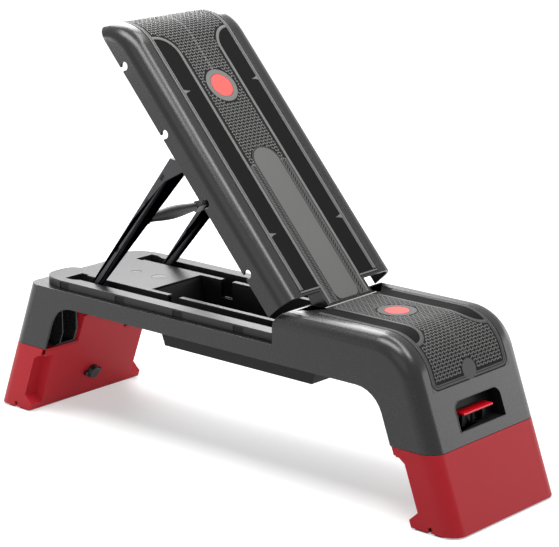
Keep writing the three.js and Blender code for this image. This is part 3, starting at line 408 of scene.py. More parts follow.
@dataclass(frozen=True)
class Finish:
    """A moulded, coated or plated surface with its grain and its wear."""

    name: str
    colour: tuple[float, float, float]
    roughness: float
    grain_scale: float = 900.0
    grain_depth: float = 0.00012
    pebbles: float = 0.6
    wear: float = 0.06
    metallic: float = 0.0
    specular: float = 0.5

    def material(self) -> bpy.types.Material:
        """Makes the finish's material, or finds it if it was made before.

        Returns:
            The material.
        """
        if self.name in bpy.data.materials:
            return bpy.data.materials[self.name]
        made = bpy.data.materials.new(self.name)
        made.use_nodes = True
        made.diffuse_color = (*self.colour, 1.0)
        nodes, links = made.node_tree.nodes, made.node_tree.links
        shader = nodes["Principled BSDF"]
        for label, value in (("Metallic", self.metallic), ("Specular IOR Level", self.specular)):
            shader.inputs[label].default_value = value
        place = nodes.new("ShaderNodeTexCoord")
        grain = nodes.new("ShaderNodeGroup")
        grain.node_tree = Groups.grain()
        grain.inputs["Scale"].default_value = self.grain_scale
        grain.inputs["Pebbles"].default_value = self.pebbles
        wear = nodes.new("ShaderNodeGroup")
        wear.node_tree = Groups.wear()
        wear.inputs["Colour"].default_value = (*self.colour, 1.0)
        wear.inputs["Amount"].default_value = self.wear
        wear.inputs["Roughness"].default_value = self.roughness
        bump = nodes.new("ShaderNodeBump")
        bump.inputs["Strength"].default_value = 1.0
        bump.inputs["Distance"].default_value = self.grain_depth
        links.new(place.outputs["Object"], grain.inputs["Vector"])
        links.new(place.outputs["Object"], wear.inputs["Vector"])
        links.new(grain.outputs["Gloss"], wear.inputs["Gloss"])
        links.new(grain.outputs["Height"], bump.inputs["Height"])
        links.new(bump.outputs["Normal"], shader.inputs["Normal"])
        links.new(wear.outputs["Colour"], shader.inputs["Base Color"])
        links.new(wear.outputs["Roughness"], shader.inputs["Roughness"])
        return made


class Look(Enum):
    """The bench's finishes."""

    BODY = Finish("body_black", (0.008, 0.008, 0.0083), 0.26,
                  grain_scale=650.0, grain_depth=0.00004, specular=0.37)
    DECK = Finish("deck_black", (0.014, 0.014, 0.0145), 0.33,
                  grain_scale=800.0, grain_depth=0.00004, specular=0.22)
    # Rougher and less glossy than the body, which is its own finish; its colour is darker than the body's to paint the
    # shade in the hollows that most of its parts line.
    INNER = Finish("inner_black", (0.004, 0.004, 0.0042), 0.50, grain_scale=500.0, specular=0.18, wear=0.08)
    RED = Finish("leg_red", (0.325, 0.0125, 0.019), 0.42,
                 grain_scale=700.0, grain_depth=0.00006, wear=0.03, specular=0.14)
    LEVER = Finish("lever_red", (0.62, 0.002, 0.010), 0.30, grain_scale=400.0, grain_depth=0.00002, wear=0.03)
    MAT = Finish("mat_dark", (0.007, 0.007, 0.0072), 0.70,
                 grain_scale=1200.0, grain_depth=0.00004, specular=0.03)
    # Darker than the rubber face: it paints the shade in the mat's grooves and outlines and between its lozenges; the
    # rope strips' bars and the slot lip take it too.
    MAT_FLOOR = Finish("mat_floor", (0.004, 0.004, 0.004), 0.8, grain_scale=900.0, specular=0.15)
    MAT_GREY = Finish("mat_grey", (0.10, 0.10, 0.098), 0.60,
                      grain_scale=1200.0, grain_depth=0.00004, specular=0.3)
    MAT_SLATE = Finish("mat_slate", (0.045, 0.045, 0.045), 0.55,
                       grain_scale=1200.0, grain_depth=0.00004, specular=0.22)
    STUD = Finish("stud_grey", (0.105, 0.105, 0.103), 0.50,
                  grain_scale=1200.0, grain_depth=0.00003, specular=0.25)
    # Light grey that paints the highlight along the edge of the seat mat's lip.
    PAINTED_HIGHLIGHT = Finish("painted_edge_highlight", (0.42, 0.42, 0.41), 0.45, grain_scale=1200.0, grain_depth=0.00002, wear=0.04)
    BADGE = Finish("badge_grey", (0.072, 0.072, 0.071), 0.55,
                   grain_scale=1300.0, grain_depth=0.00003, specular=0.3)
    CORAL = Finish("dot_coral", (0.60, 0.085, 0.078), 0.60,
                   grain_scale=1000.0, grain_depth=0.00002, wear=0.03, specular=0.15)
    GRIP = Finish("grip_rubber", (0.022, 0.022, 0.023), 0.48, grain_scale=700.0, wear=0.08, specular=0.4)
    PAD = Finish("foot_rubber", (0.010, 0.010, 0.010), 0.75, grain_scale=600.0, wear=0.10, specular=0.3)
    STEEL = Finish("bright_steel", (0.55, 0.56, 0.58), 0.28, grain_scale=300.0, grain_depth=0.00001,
                   pebbles=0.0, wear=0.05, metallic=1.0)
    DARK_STEEL = Finish("dark_steel", (0.07, 0.07, 0.075), 0.40, grain_scale=300.0, grain_depth=0.00001,
                        pebbles=0.0, wear=0.05, metallic=1.0)
    COATED = Finish("coated_steel", (0.006, 0.006, 0.0065), 0.42,
                    grain_scale=1500.0, grain_depth=0.00002, specular=0.12)


def dress(obj: bpy.types.Object, look: Look) -> None:
    """Gives the whole object one finish.

    Args:
        obj: the object.
        look: its finish.
    """
    obj.data.materials.clear()
    obj.data.materials.append(look.value.material())
    if obj.type == "MESH":
        obj.data.polygons.foreach_set("material_index", [0] * len(obj.data.polygons))


# ---------------------------------------------------------------- the frame
@dataclass
class Frame:
    """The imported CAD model: its nodes, and which body and slot each belongs to."""

    loaded: dict = field(default_factory=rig.load)

    def __post_init__(self) -> None:
        """Reads the bodies and slots from the record."""
        record = self.loaded["record"]
        self.nodes: dict[str, bpy.types.Object] = self.loaded["nodes"]
        self.body = {n: b for b, names in record["behaviour"]["bodies"].items() for n in names}
        self.slot = {row["node"]: row["material_slot"] for row in record["subparts"]}

    def keep(self, piece: bpy.types.Object, body: str, slot: str, look: Look) -> bpy.types.Object:
        """Dresses a new piece and ties it to its body and slot.

        Args:
            piece: the new piece, in place.
            body: the CAD body that it moves with.
            slot: the record's material slot.
            look: its finish.

        Returns:
            The piece.
        """
        settle(piece)
        dress(piece, look)
        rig.ride(piece, body)
        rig.slot(piece, slot)
        LOG.info("%s: %d faces on %s", piece.name, len(piece.data.polygons), body)
        return piece


# ---------------------------------------------------------------- mouldings
@dataclass
class Moulding:
    """A moulded part: the CAD node's form with rounded edges and smooth shading.

    Edges sharper than `sharp` degrees are rounded. Points of the rounding may lie `slack`
    outside the solid. A face counts as folded over where its normal and the solid's have a
    dot product under `fold`; faces smaller than `least_face` are left.
    """

    node: str
    look: Look
    round_r: float = 0.8 * MM
    sharp: float = 38.0
    segments: int = 2
    merge: float = 0.02 * MM
    flat: float = 0.4
    slack: float = 0.02 * MM
    fold: float = -0.3
    least_face: float = 1e-9

    def build(self, frame: Frame) -> bpy.types.Object:
        """Makes the part from a merged copy of its node.

        Args:
            frame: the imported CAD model.

        Returns:
            The finished part, which stands for the node.
        """
        source = frame.nodes[self.node]
        part = bpy.data.objects.new(f"{self.node}_moulded", source.data.copy())
        bpy.context.scene.collection.objects.link(part)
        drop_normals(part)
        bpy.ops.object.mode_set(mode="EDIT")
        bpy.ops.mesh.select_all(action="SELECT")
        bpy.ops.mesh.remove_doubles(threshold=self.merge)
        bpy.ops.mesh.dissolve_limited(angle_limit=math.radians(self.flat))
        bpy.ops.object.mode_set(mode="OBJECT")
        add_modifier(part, "BEVEL", width=self.round_r, segments=self.segments, limit_method="ANGLE",
                     angle_limit=math.radians(self.sharp), use_clamp_overlap=False)
        self._settle_strays(part, source)
        self._unfold(part, source)
        even_shading(part, self.sharp)
        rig.replaces(part, self.node)
        return frame.keep(part, frame.body[self.node], frame.slot[self.node], self.look)

    def _settle_strays(self, part: bpy.types.Object, source: bpy.types.Object) -> None:
        """Puts the rounding's points that left the CAD solid, or strayed far, back onto it.

        Args:
            part: the rounded copy.
            source: the CAD node.
        """
        surface = BVHTree.FromObject(source, bpy.context.evaluated_depsgraph_get())
        points = points_of(part)
        for i, point in enumerate(points):
            near, normal, _, distance = surface.find_nearest(point)
            outside = (Vector(point) - near).dot(normal) > self.slack
            if outside or distance > 0.5 * self.round_r:
                points[i] = near
        move_points(part, points)

    def _unfold(self, part: bpy.types.Object, source: bpy.types.Object) -> None:
        """Draws the faces that the rounding turned over back to the solid's own corners.

        Args:
            part: the rounded copy.
            source: the CAD node.
        """
        surface = BVHTree.FromObject(source, bpy.context.evaluated_depsgraph_get())
        corners = KDTree(len(source.data.vertices))
        for i, vertex in enumerate(source.data.vertices):
            corners.insert(vertex.co, i)
        corners.balance()
        points = points_of(part)
        folded = 0
        for face in part.data.polygons:
            _, normal, _, _ = surface.find_nearest(face.center)
            if face.area > self.least_face and face.normal.dot(normal) < self.fold:
                folded += 1
                for i in face.vertices:
                    points[i] = corners.find(points[i])[0]
        move_points(part, points)
        LOG.info("%s: %d faces unfolded", part.name, folded)


# ---------------------------------------------------------------- the curved top
@dataclass(frozen=True)
class Skin:
    """The bench's top face as a flat sheet: along it, across it, and above it."""

    foot_half: float = 0.614
    lean: float = math.radians(20.15)
    bend_r: float = 0.100
    top_z: float = 0.350

    @property
    def bend_x(self) -> float:
        """Where the bend starts."""
        return self.foot_half - self.bend_r / math.cos(self.lean) - self.bend_z * math.tan(self.lean)

    @property
    def bend_z(self) -> float:
        """Height of the bend's centre."""
        return self.top_z - self.bend_r

    @property
    def face_s(self) -> float:
        """Distance along the skin at which the flat end face starts."""
        return self.bend_x + self.bend_r * (math.pi / 2 - self.lean)

    def s_at(self, z: float) -> float:
        """Distance along the skin of a height on the flat end face."""
        start = self.bend_z + self.bend_r * math.sin(self.lean)
        return self.face_s + (start - z) / math.cos(self.lean)

    def seat(self, s: np.ndarray, y: np.ndarray, h: np.ndarray) -> np.ndarray:
        """Places points on the seat end.

        Args:
            s: distance along the top, which equals x on the flat part.
            y: distance across.
            h: height above the surface.

        Returns:
            The points as an n by 3 array.
        """
        turn = np.clip((s - self.bend_x) / self.bend_r, 0.0, math.pi / 2 - self.lean)
        a = math.pi / 2 - turn
        r = self.bend_r + h
        flat = np.minimum(s - self.bend_x, 0.0)
        down = np.maximum(s - self.face_s, 0.0)
        x = self.bend_x + flat + r * np.cos(a) + down * math.sin(self.lean)
        z = self.bend_z + r * np.sin(a) - down * math.cos(self.lean)
        return np.stack([x, y, z], axis=1)

    def far(self, s: np.ndarray, y: np.ndarray, h: np.ndarray) -> np.ndarray:
        """Places points on the far end, which mirrors the seat end.

        Args:
            s: distance along the top.
            y: distance across.
            h: height above the surface.

        Returns:
            The points as an n by 3 array.
        """
        return self.seat(s, y, h) * np.array([-1.0, 1.0, 1.0])


@dataclass(frozen=True)
class RaisedSkin(Skin):
    """The backrest's face: the far end's, turned up about the hinge."""

    hinge: Point2 = (0.219, 0.320)
    angle: float = math.radians(48.5)

    def back(self, s: np.ndarray, y: np.ndarray, h: np.ndarray) -> np.ndarray:
        """Places points on the raised backrest.

        Args:
            s: distance along the top while the backrest is down.
            y: distance across.
            h: height above the surface.

        Returns:
            The points as an n by 3 array.
        """
        points = self.far(s, y, h)
        dx, dz = points[:, 0] - self.hinge[0], points[:, 2] - self.hinge[1]
        c, w = math.cos(self.angle), math.sin(self.angle)
        points[:, 0] = self.hinge[0] + dx * c + dz * w
        points[:, 2] = self.hinge[1] - dx * w + dz * c
        return points


# ---------------------------------------------------------------- inlays on the skin
class Level:
    """Heights of the mats' pieces, measured from the shell's face."""

    RECESS = -2.9 * MM
    UNDER = -1.6 * MM
    BASE = -0.80 * MM
    FLOOR = -0.62 * MM
    LINE = -0.45 * MM
    BORDER = -0.12 * MM
    TOP = -0.05 * MM
    FLUSH = 0.0


def grid_sheet(name: str, along: int, across: int, place: Place, h0: float, h1: float, skin: Mapping,
               edge: float = 0.0) -> bpy.types.Object:
    """A thin moulded sheet that lies on the skin.

    Args:
        name: the piece's name.
        along: number of cells in its first direction.
        across: number of cells in its second direction.
        place: turns two arrays from 0 to 1 into distances along and across the skin.
        h0: height of its underside.
        h1: height of its face.
        skin: places flat points on the bench.
        edge: radius of its rounded edges.

    Returns:
        The sheet as an object.
    """
    bpy.ops.object.select_all(action="DESELECT")
    bpy.ops.mesh.primitive_grid_add(x_subdivisions=along, y_subdivisions=across, size=1.0)
    obj = bpy.context.object
    obj.name = name
    points = points_of(obj)
    points[:, :2] = place(points[:, 0] + 0.5, points[:, 1] + 0.5)
    points[:, 2] = h0
    move_points(obj, points)
    face_out(obj)
    add_modifier(obj, "SOLIDIFY", thickness=h1 - h0, offset=1.0)
    points = points_of(obj)
    if points[:, 2].min() < h0 - DOUBLES:
        points[:, 2] = 2 * h0 - points[:, 2]
        move_points(obj, points)
    face_out(obj)
    if edge:
        add_modifier(obj, "BEVEL", width=edge, segments=2, limit_method="ANGLE",
                     angle_limit=math.radians(50.0))
    points = points_of(obj)
    move_points(obj, skin(points[:, 0], points[:, 1], points[:, 2]))
    face_out(obj)
    smooth(obj, 40.0)
    return obj


def band(name: str, s0: float, s1: float, half: Edge, h1: float, skin: Mapping,
         step: float = 5 * MM, across: int = 1, h0: float = Level.UNDER) -> bpy.types.Object:
    """A sheet on both sides of the middle line.

    Args:
        name: the piece's name.
        s0: where it starts along the skin.
        s1: where it ends.
        half: gives its half width at each distance along the skin.
        h1: height of its face.
        skin: places flat points on the bench.
        step: longest distance between two of its stations.
        across: number of cells across it.
        h0: height of its underside.

    Returns:
        The sheet as an object.
    """
    def place(u: np.ndarray, v: np.ndarray) -> np.ndarray:
        """Spreads the grid between the two edges.

        Args:
            u: places from 0 to 1 along the grid.
            v: places from 0 to 1 across it.

        Returns:
            Distances along and across the skin, as an n by 2 array.
        """
        s = s0 + (s1 - s0) * u
        edge = half(s)
        return np.stack([s, -edge + 2 * edge * v], axis=1)

    along = max(2, int((s1 - s0) / step))
    return grid_sheet(name, along, across, place, h0, h1, skin)


def ribbon(name: str, path: Sequence[Point2], width: float, h1: float, skin: Mapping,
           step: float = 4 * MM) -> bpy.types.Object:
    """A strip of even width along a path on the skin, with a rounded face.

    Args:
        name: the piece's name.
        path: points along and across the skin.
        width: the strip's width.
        h1: height of its face.
        skin: places flat points on the bench.
        step: longest distance between two of its stations.

    Returns:
        The strip as an object.
    """
    track = np.array(path)
    lengths = np.concatenate([[0.0], np.cumsum(np.hypot(*np.diff(track, axis=0).T))])
    stations = max(4, int(lengths[-1] / step))

    def place(u: np.ndarray, v: np.ndarray) -> np.ndarray:
        """Sets the grid out along the path.

        Args:
            u: places from 0 to 1 along the grid.
            v: places from 0 to 1 across it.

        Returns:
            Distances along and across the skin, as an n by 2 array.
        """
        at = u * lengths[-1]
        reach = 0.5 * step
        mid = np.stack([np.interp(at, lengths, track[:, k]) for k in (0, 1)], axis=1)
        ahead = np.stack([np.interp(at + reach, lengths, track[:, k]) for k in (0, 1)], axis=1)
        behind = np.stack([np.interp(at - reach, lengths, track[:, k]) for k in (0, 1)], axis=1)
        way = ahead - behind
        way /= np.linalg.norm(way, axis=1)[:, None]
        side = np.stack([-way[:, 1], way[:, 0]], axis=1)
        return mid + side * (v[:, None] - 0.5) * width

    return grid_sheet(name, stations, 1, place, Level.UNDER, h1, skin, edge=min(width * 0.2, 0.3 * MM))


def arc_points(centre: Point2, r: float, start: float, end: float, steps: int = 14) -> list[Point2]:
    """Points on an arc.

    Args:
        centre: the arc's centre.
        r: its radius.
        start: its first angle in degrees.
        end: its last angle in degrees.
        steps: number of steps between them.

    Returns:
        The points in order.
    """
    angles = np.radians(np.linspace(start, end, steps + 1))
    return [(centre[0] + r * math.cos(a), centre[1] + r * math.sin(a)) for a in angles]


def disc(name: str, centre: Point2, r: float, h1: float, skin: Mapping,
         hole: float = 0.0) -> bpy.types.Object:
    """A round inlay, or a ring where it has a hole.

    Args:
        name: the piece's name.
        centre: its middle on the skin.
        r: its radius.
        h1: height of its face.
        skin: places flat points on the bench.
        hole: radius of its hole.

    Returns:
        The disc as an object.
    """
    def place(u: np.ndarray, v: np.ndarray) -> np.ndarray:
        """Rolls the grid up into a ring.

        Args:
            u: places from 0 to 1 along the grid.
            v: places from 0 to 1 across it.

        Returns:
            Distances along and across the skin, as an n by 2 array.
        """
        a = u * FULL_TURN
        radius = hole + (r - hole) * v
        return np.stack([centre[0] + radius * np.cos(a), centre[1] + radius * np.sin(a)], axis=1)

    return grid_sheet(name, 48, 2, place, Level.UNDER, h1, skin)


class Weave(Enum):
    """How neighbouring lozenges lean."""

    BASKET = "each cell leans against its four neighbours"
    ROPE = "each row leans one way, and the next row the other way"


@dataclass
class Tread:
    """Raised lozenges in a basket weave, cut off at the edges of a field."""

    name: str
    s0: float
    s1: float
    half: float
    inside: Callable[[np.ndarray, np.ndarray], np.ndarray]
    skin: Mapping
    base: float = -0.9 * MM
    top: float = -0.08 * MM
    cell_s: float = 6.6 * MM
    cell_y: float = 6.0 * MM
    long: float = 7.0 * MM
    wide: float = 3.3 * MM
    slant: float = 45.0
    taper: float = 0.74
    weave: Weave = Weave.BASKET

    def build(self) -> bpy.types.Object:
        """Models one unit of lozenges, repeats it, trims the field and lays it on the skin.

        Returns:
            All the lozenges as one object.
        """
        cells = ((0, 0), (1, 0), (0, 1), (1, 1))
        unit = [self._lozenge(i * self.cell_s, j * self.cell_y, self._turn(i, j)) for i, j in cells]
        pick(*unit)
        bpy.ops.object.join()
        obj = bpy.context.object
        obj.name = self.name
        columns = int((self.s1 - self.s0) / (2 * self.cell_s)) + 1
        rows = 2 * int(self.half / (2 * self.cell_y)) + 2
        for count, offset in ((columns, (2 * self.cell_s, 0, 0)), (rows, (0, 2 * self.cell_y, 0))):
            add_modifier(obj, "ARRAY", count=count, use_relative_offset=False, use_constant_offset=True,
                         constant_offset_displace=offset)
        points = points_of(obj)
        points[:, 0] += self.s0
        points[:, 1] -= (rows - 0.5) * self.cell_y
        each = len(points) // (columns * rows * len(cells))
        middles = points.reshape(-1, each, 3).mean(axis=1)
        keep = np.repeat(self.inside(middles[:, 0], middles[:, 1]), each)
        move_points(obj, self.skin(points[:, 0], points[:, 1], points[:, 2]))
        self._trim(obj, keep)
        face_out(obj)
        smooth(obj, 30.0)
        return obj

    def _turn(self, i: int, j: int) -> float:
        """The slant in degrees of the lozenge in column i and row j of the unit."""
        flipped = (i + j) % 2 if self.weave is Weave.BASKET else j
        return -self.slant if flipped else self.slant

    def _lozenge(self, s: float, y: float, slant: float) -> bpy.types.Object:
        """One stud: a box drawn in towards its top.

        Args:
            s: distance along the skin.
            y: distance across.
            slant: its turn in degrees.

        Returns:
            The stud as an object.
        """
        stud = box("stud", (s, y, (self.base + self.top) / 2), (self.long, self.wide, self.top - self.base),
                   (0.0, 0.0, math.radians(slant)))
        for face in stud.data.polygons:
            face.select = face.normal.z > 0.9
        bpy.ops.object.mode_set(mode="EDIT")
        bpy.ops.mesh.select_mode(type="FACE")
        bpy.ops.transform.resize(value=(self.taper, self.taper, 1.0))
        bpy.ops.object.mode_set(mode="OBJECT")
        return stud

    @staticmethod
    def _trim(obj: bpy.types.Object, keep: np.ndarray) -> None:
        """Deletes vertices.

        Args:
            obj: the mesh object.
            keep: true for each vertex that stays.
        """
        pick(obj)
        bpy.ops.object.mode_set(mode="EDIT")
        bpy.ops.mesh.select_mode(type="VERT")
        bpy.ops.mesh.select_all(action="DESELECT")
        bpy.ops.object.mode_set(mode="OBJECT")
        obj.data.vertices.foreach_set("select", ~keep)
        bpy.ops.object.mode_set(mode="EDIT")
        bpy.ops.mesh.delete(type="VERT")
        bpy.ops.object.mode_set(mode="OBJECT")


# ---------------------------------------------------------------- the mats
@dataclass
class Mat:
    """What the two mats share: base, borders, side panels, tread, ring, dot and centre rib.

    Places with `_end` or `_s` are distances along the skin, and those with `_in` or `_half` are
    distances from the middle line.
    """

    frame: Frame
    skin: Mapping
    body: str
    name: str
    node: str
    start: float
    panel_end: float
    tread_end: float
    end: float
    dot_s: float
    dot_r: float
    panel_in: float
    border: float
    corner: float
    trim: Look
    mat_half: float = 0.116
    outer_in: float = 0.105
    ring_r: float = 0.0375
    panel_round: float = 0.044
    flare_back: float = 0.048
    flare_long: float = 0.058
    tick_long: float = 0.016
    clear_edge: float = 2.2 * MM
    clear_ring: float = 3.4 * MM
    clear_rib: float = 2.4 * MM

    def inlay(self, obj: bpy.types.Object, look: Look) -> bpy.types.Object:
        """Ties a finished inlay to the mat's body."""
        return self.frame.keep(obj, self.body, "rubber", look)

    def base(self, s0: float, s1: float, half: float, word: str) -> bpy.types.Object:
        """A plain sheet of the mat's full thickness.

        Args:
            s0: where it starts along the skin.
            s1: where it ends.
            half: its half width.
            word: its part of the piece's name.

        Returns:
            The sheet as an object.
        """
        obj = band(f"{self.name}_{word}", s0, s1, lambda s: np.full_like(s, half), Level.BASE - 0.1 * MM,
                   self.skin, step=4 * MM, h0=Level.RECESS)
        return self.inlay(obj, Look.BODY)

    def rubber(self, s0: float) -> None:
        """The dark rubber face, with two round corners at the mat's end.

        Args:
            s0: where it starts along the skin.
        """
        def half(s: np.ndarray) -> np.ndarray:
            """Half width of the face, which draws in round the corners."""
            t = np.clip((s - (self.end - self.corner)) / self.corner, 0.0, 1.0)
            return self.mat_half - self.corner * (1 - np.sqrt(1 - t ** 2))

        obj = band(f"{self.name}_face", s0, self.end, half, Level.BASE, self.skin, step=2.5 * MM)
        self.inlay(obj, Look.MAT)

    def outline(self, inset: float) -> list[Point2]:
        """The mat's outer edge from one side round its end to the other.

        Args:
            inset: how far inside the edge the line runs.

        Returns:
            Points along and across the skin.
        """
        y, end, r = self.mat_half - inset, self.end - inset, max(self.corner - inset, 2 * MM)
        return [(self.start, -y), *arc_points((end - r, r - y), r, -90, 0, 8),
                *arc_points((end - r, y - r), r, 0, 90, 8), (self.start, y)]

    def half_tread(self, s: np.ndarray) -> np.ndarray:
        """Half width of the tread field, which widens past the side panels.

        Args:
            s: distances along the skin.

        Returns:
            The half width at each of them.
        """
        t = np.clip((s - (self.panel_end - self.flare_back)) / self.flare_long, 0.0, 1.0)
        narrow = self.panel_in - self.border - 1.5 * MM
        wide = self.outer_in - 1.0 * MM
        return narrow + (wide - narrow) * (1 - np.sqrt(np.maximum(1 - t ** 2.2, 0.0)))

    def panel_track(self, side: int, shift: float) -> list[Point2]:
        """The side panel's inner edge and round end.

        Args:
            side: 1 for the far side, -1 for the near one.
            shift: how far outside the panel the line runs.

        Returns:
            Points along and across the skin.
        """
        bend, inner = self.panel_end - self.panel_round, self.panel_in - shift
        line = [(self.start, inner)]
        for a in np.linspace(0, math.pi / 2, 15):
            line.append((bend + (self.panel_round + shift) * math.sin(a),
                         inner + (self.outer_in - self.panel_in + shift) * (1 - math.cos(a))))
        return [(s, side * y) for s, y in line]

    def fillers(self) -> None:
        """Black pieces that fill the shell's square recess outside the mat's round corners."""
        y, s, r = self.mat_half - self.corner, self.end - self.corner, self.corner
        for side, word in SIDES:
            def place(u: np.ndarray, v: np.ndarray, side: int = side) -> np.ndarray:
                """Spans from the round corner to the square one.

                Args:
                    u: places from 0 to 1 along the grid.
                    v: places from 0 to 1 across it.
                    side: 1 for the far side, -1 for the near one.

                Returns:
                    Distances along and across the skin, as an n by 2 array.
                """
                along, across = np.sin(u * math.pi / 2), np.cos(u * math.pi / 2)
                out = np.stack([s + r * np.minimum(along * 2, 1), y + r * np.minimum(across * 2, 1)], axis=1)
                arc = np.stack([s + r * along, y + r * across], axis=1)
                return (arc + (out - arc) * v[:, None]) * np.array([1.0, side])

            piece = grid_sheet(f"{self.name}_filler_{word}", 12, 1, place, Level.RECESS, Level.FLUSH,
                               self.skin)
            self.inlay(piece, Look.BODY)

    def borders(self) -> None:
        """Borders round the side panels and along the mat's edge, with dark lines beside them that paint the shade in
        the grooves there.
        """
        for side, word in SIDES:
            middle = self.panel_track(side, self.border / 2)
            frame = ribbon(f"{self.name}_border_{word}", middle, self.border, Level.BORDER, self.skin)
            self.inlay(frame, self.trim)
            beside = self.panel_track(side, self.border + 1.2 * MM)
            line = ribbon(f"{self.name}_line_{word}", beside, 2.4 * MM, Level.LINE, self.skin)
            self.inlay(line, Look.MAT_FLOOR)
        for word, inset, width, level, look in (
                ("edge", 0.5 * MM, 1.8 * MM, Level.FLOOR, Look.MAT_FLOOR),
                ("border_outer", 4.4 * MM, 4.4 * MM, Level.BORDER, self.trim),
                ("border_groove", 7.2 * MM, 1.0 * MM, Level.LINE, Look.MAT_FLOOR),
                ("border_inner", 9.2 * MM, 2.8 * MM, Level.BORDER, self.trim)):
            track = self.outline(inset)
            self.inlay(ribbon(f"{self.name}_{word}", track, width, level, self.skin, step=3 * MM), look)

    def floor(self, s0: float) -> None:
        """Dark floor between the lozenges, darker than the rubber face, that paints the shade between them.

        Args:
            s0: where it starts along the skin.
        """
        obj = band(f"{self.name}_tread_floor", s0, self.tread_end, self.half_tread, Level.FLOOR, self.skin,
                   step=4 * MM, across=2)
        self.inlay(obj, Look.MAT_FLOOR)

    def in_field(self, s: np.ndarray, y: np.ndarray) -> np.ndarray:
        """Tells which places lie in the tread field, clear of its edges, the ring and the rib.

        Args:
            s: distances along the skin.
            y: distances across.

        Returns:
            True for each place that does.
        """
        field_ = (np.abs(y) < self.half_tread(s) - self.clear_edge) & (s < self.tread_end - 1 * MM)
        ring = np.hypot(s - self.dot_s, y) > self.ring_r + self.clear_ring
        return field_ & ring & (np.abs(y) > self.clear_rib)

    def ring_and_dot(self, ribs: Sequence[Point2]) -> None:
        """The coral dot with its ring, and the rib down the middle.

        Args:
            ribs: where each stretch of the rib starts and ends.
        """
        centre = (self.dot_s, 0.0)
        for word, r, hole, level, look in (
                ("ring_outline", self.ring_r + 1.3 * MM, self.ring_r, Level.LINE, Look.MAT_FLOOR),
                ("ring", self.ring_r, self.dot_r + 0.9 * MM, Level.BORDER, self.trim),
                ("dot_outline", self.dot_r + 0.9 * MM, self.dot_r - 0.1 * MM, Level.LINE, Look.MAT_FLOOR)):
            self.inlay(disc(f"{self.name}_{word}", centre, r, level, self.skin, hole=hole), look)
        dot = disc(f"{self.name}_dot_inlay", centre, self.dot_r, Level.TOP, self.skin)
        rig.replaces(dot, f"{self.node}_dot")
        self.frame.keep(dot, self.body, "coral_inlay", Look.CORAL)
        for i, (s0, s1) in enumerate(ribs):
            rib = ribbon(f"{self.name}_rib_{i + 1}", [(s0, 0.0), (s1, 0.0)], 1.7 * MM, Level.TOP, self.skin)
            self.inlay(rib, self.trim)

    def ticks(self, places: Sequence[float]) -> None:
        """Small wedges that point in from the outer border on both sides.

        Args:
            places: where they lie along the skin.
        """
        for side, word in SIDES:
            for i, s in enumerate(places):
                def place(u: np.ndarray, v: np.ndarray, s: float = s, side: int = side) -> np.ndarray:
                    """Narrows the grid to the wedge's tip.

                    Args:
                        u: places from 0 to 1 along the grid.
                        v: places from 0 to 1 across it.
                        s: the wedge's place along the skin.
                        side: 1 for the far side, -1 for the near one.

                    Returns:
                        Distances along and across the skin, as an n by 2 array.
                    """
                    half = (4.2 * (1 - u) ** 1.5 + 0.6) * MM
                    y = self.outer_in + 1 * MM - self.tick_long * u
                    return np.stack([s + half * (2 * v - 1), side * y], axis=1)

                wedge = grid_sheet(f"{self.name}_tick_{word}_{i + 1}", 6, 1, place, Level.UNDER, Level.BORDER,
                                   self.skin)
                self.inlay(wedge, self.trim)


@dataclass
class SeatMat(Mat):
    """Tread mat over the seat block and down its end face."""

    wing_s: float = 0.2045
    wing_in: float = 0.0815
    head_s: float = 0.2320
    slot_end: float = 0.2440
    slot_half: float = 0.0765
    patch_s: float = 0.553
    patch_r: float = 0.020

    def build(self) -> None:
        """Makes every piece of the seat mat."""
        backing = self.base(self.slot_end, self.end, self.mat_half, "backing")
        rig.replaces(backing, self.node)
        self.fillers()
        self.lip()
        self.wings()
        self.rubber(self.slot_end)
        self.borders()
        self.floor(self.slot_end)
        self.ring_and_dot([(self.slot_end, self.dot_s - self.ring_r),
                           (self.dot_s + self.ring_r, self.patch_s - self.patch_r)])
        patch = disc(f"{self.name}_patch", (self.patch_s, 0.0), self.patch_r, Level.TOP, self.skin)
        self.inlay(patch, Look.MAT_SLATE)
        tread = Tread(f"{self.name}_tread", self.head_s + 5 * MM, self.tread_end, self.outer_in, self.inside,
                      self.skin)
        self.inlay(tread.build(), Look.STUD)

    def lip(self) -> None:
        """The mat's thin lip over the end of the hinge slot, with a pale strip along its edge that paints the
        highlight there.
        """
        for word, s0, s1, h0, h1, look in (
                ("lip", self.head_s + 1 * MM, self.slot_end + 1 * MM, -2.6 * MM, Level.FLOOR, Look.MAT_FLOOR),
                ("lip_edge", self.head_s - 1 * MM, self.head_s + 1.4 * MM, -2.8 * MM, Level.TOP, Look.PAINTED_HIGHLIGHT)):
            strip = band(f"{self.name}_{word}", s0, s1, lambda s: np.full_like(s, self.slot_half), h1,
                         self.skin, across=2, h0=h0)
            self.inlay(strip, look)

    def wings(self) -> None:
        """The two strips beside the backrest's tongue."""
        for side, word in SIDES:
            def place(u: np.ndarray, v: np.ndarray, side: int = side) -> np.ndarray:
                """Sets out one strip."""
                y = self.wing_in + (self.mat_half - self.wing_in) * v
                return np.stack([self.wing_s + (self.slot_end - self.wing_s) * u, side * y], axis=1)

            obj = grid_sheet(f"{self.name}_wing_{word}", 6, 1, place, Level.RECESS, Level.BASE, self.skin)
            self.inlay(obj, Look.MAT)

    def inside(self, s: np.ndarray, y: np.ndarray) -> np.ndarray:
        """The places in the field that are clear of the round patch too."""
        return self.in_field(s, y) & (np.hypot(s - self.patch_s, y) > self.patch_r + 3 * MM)


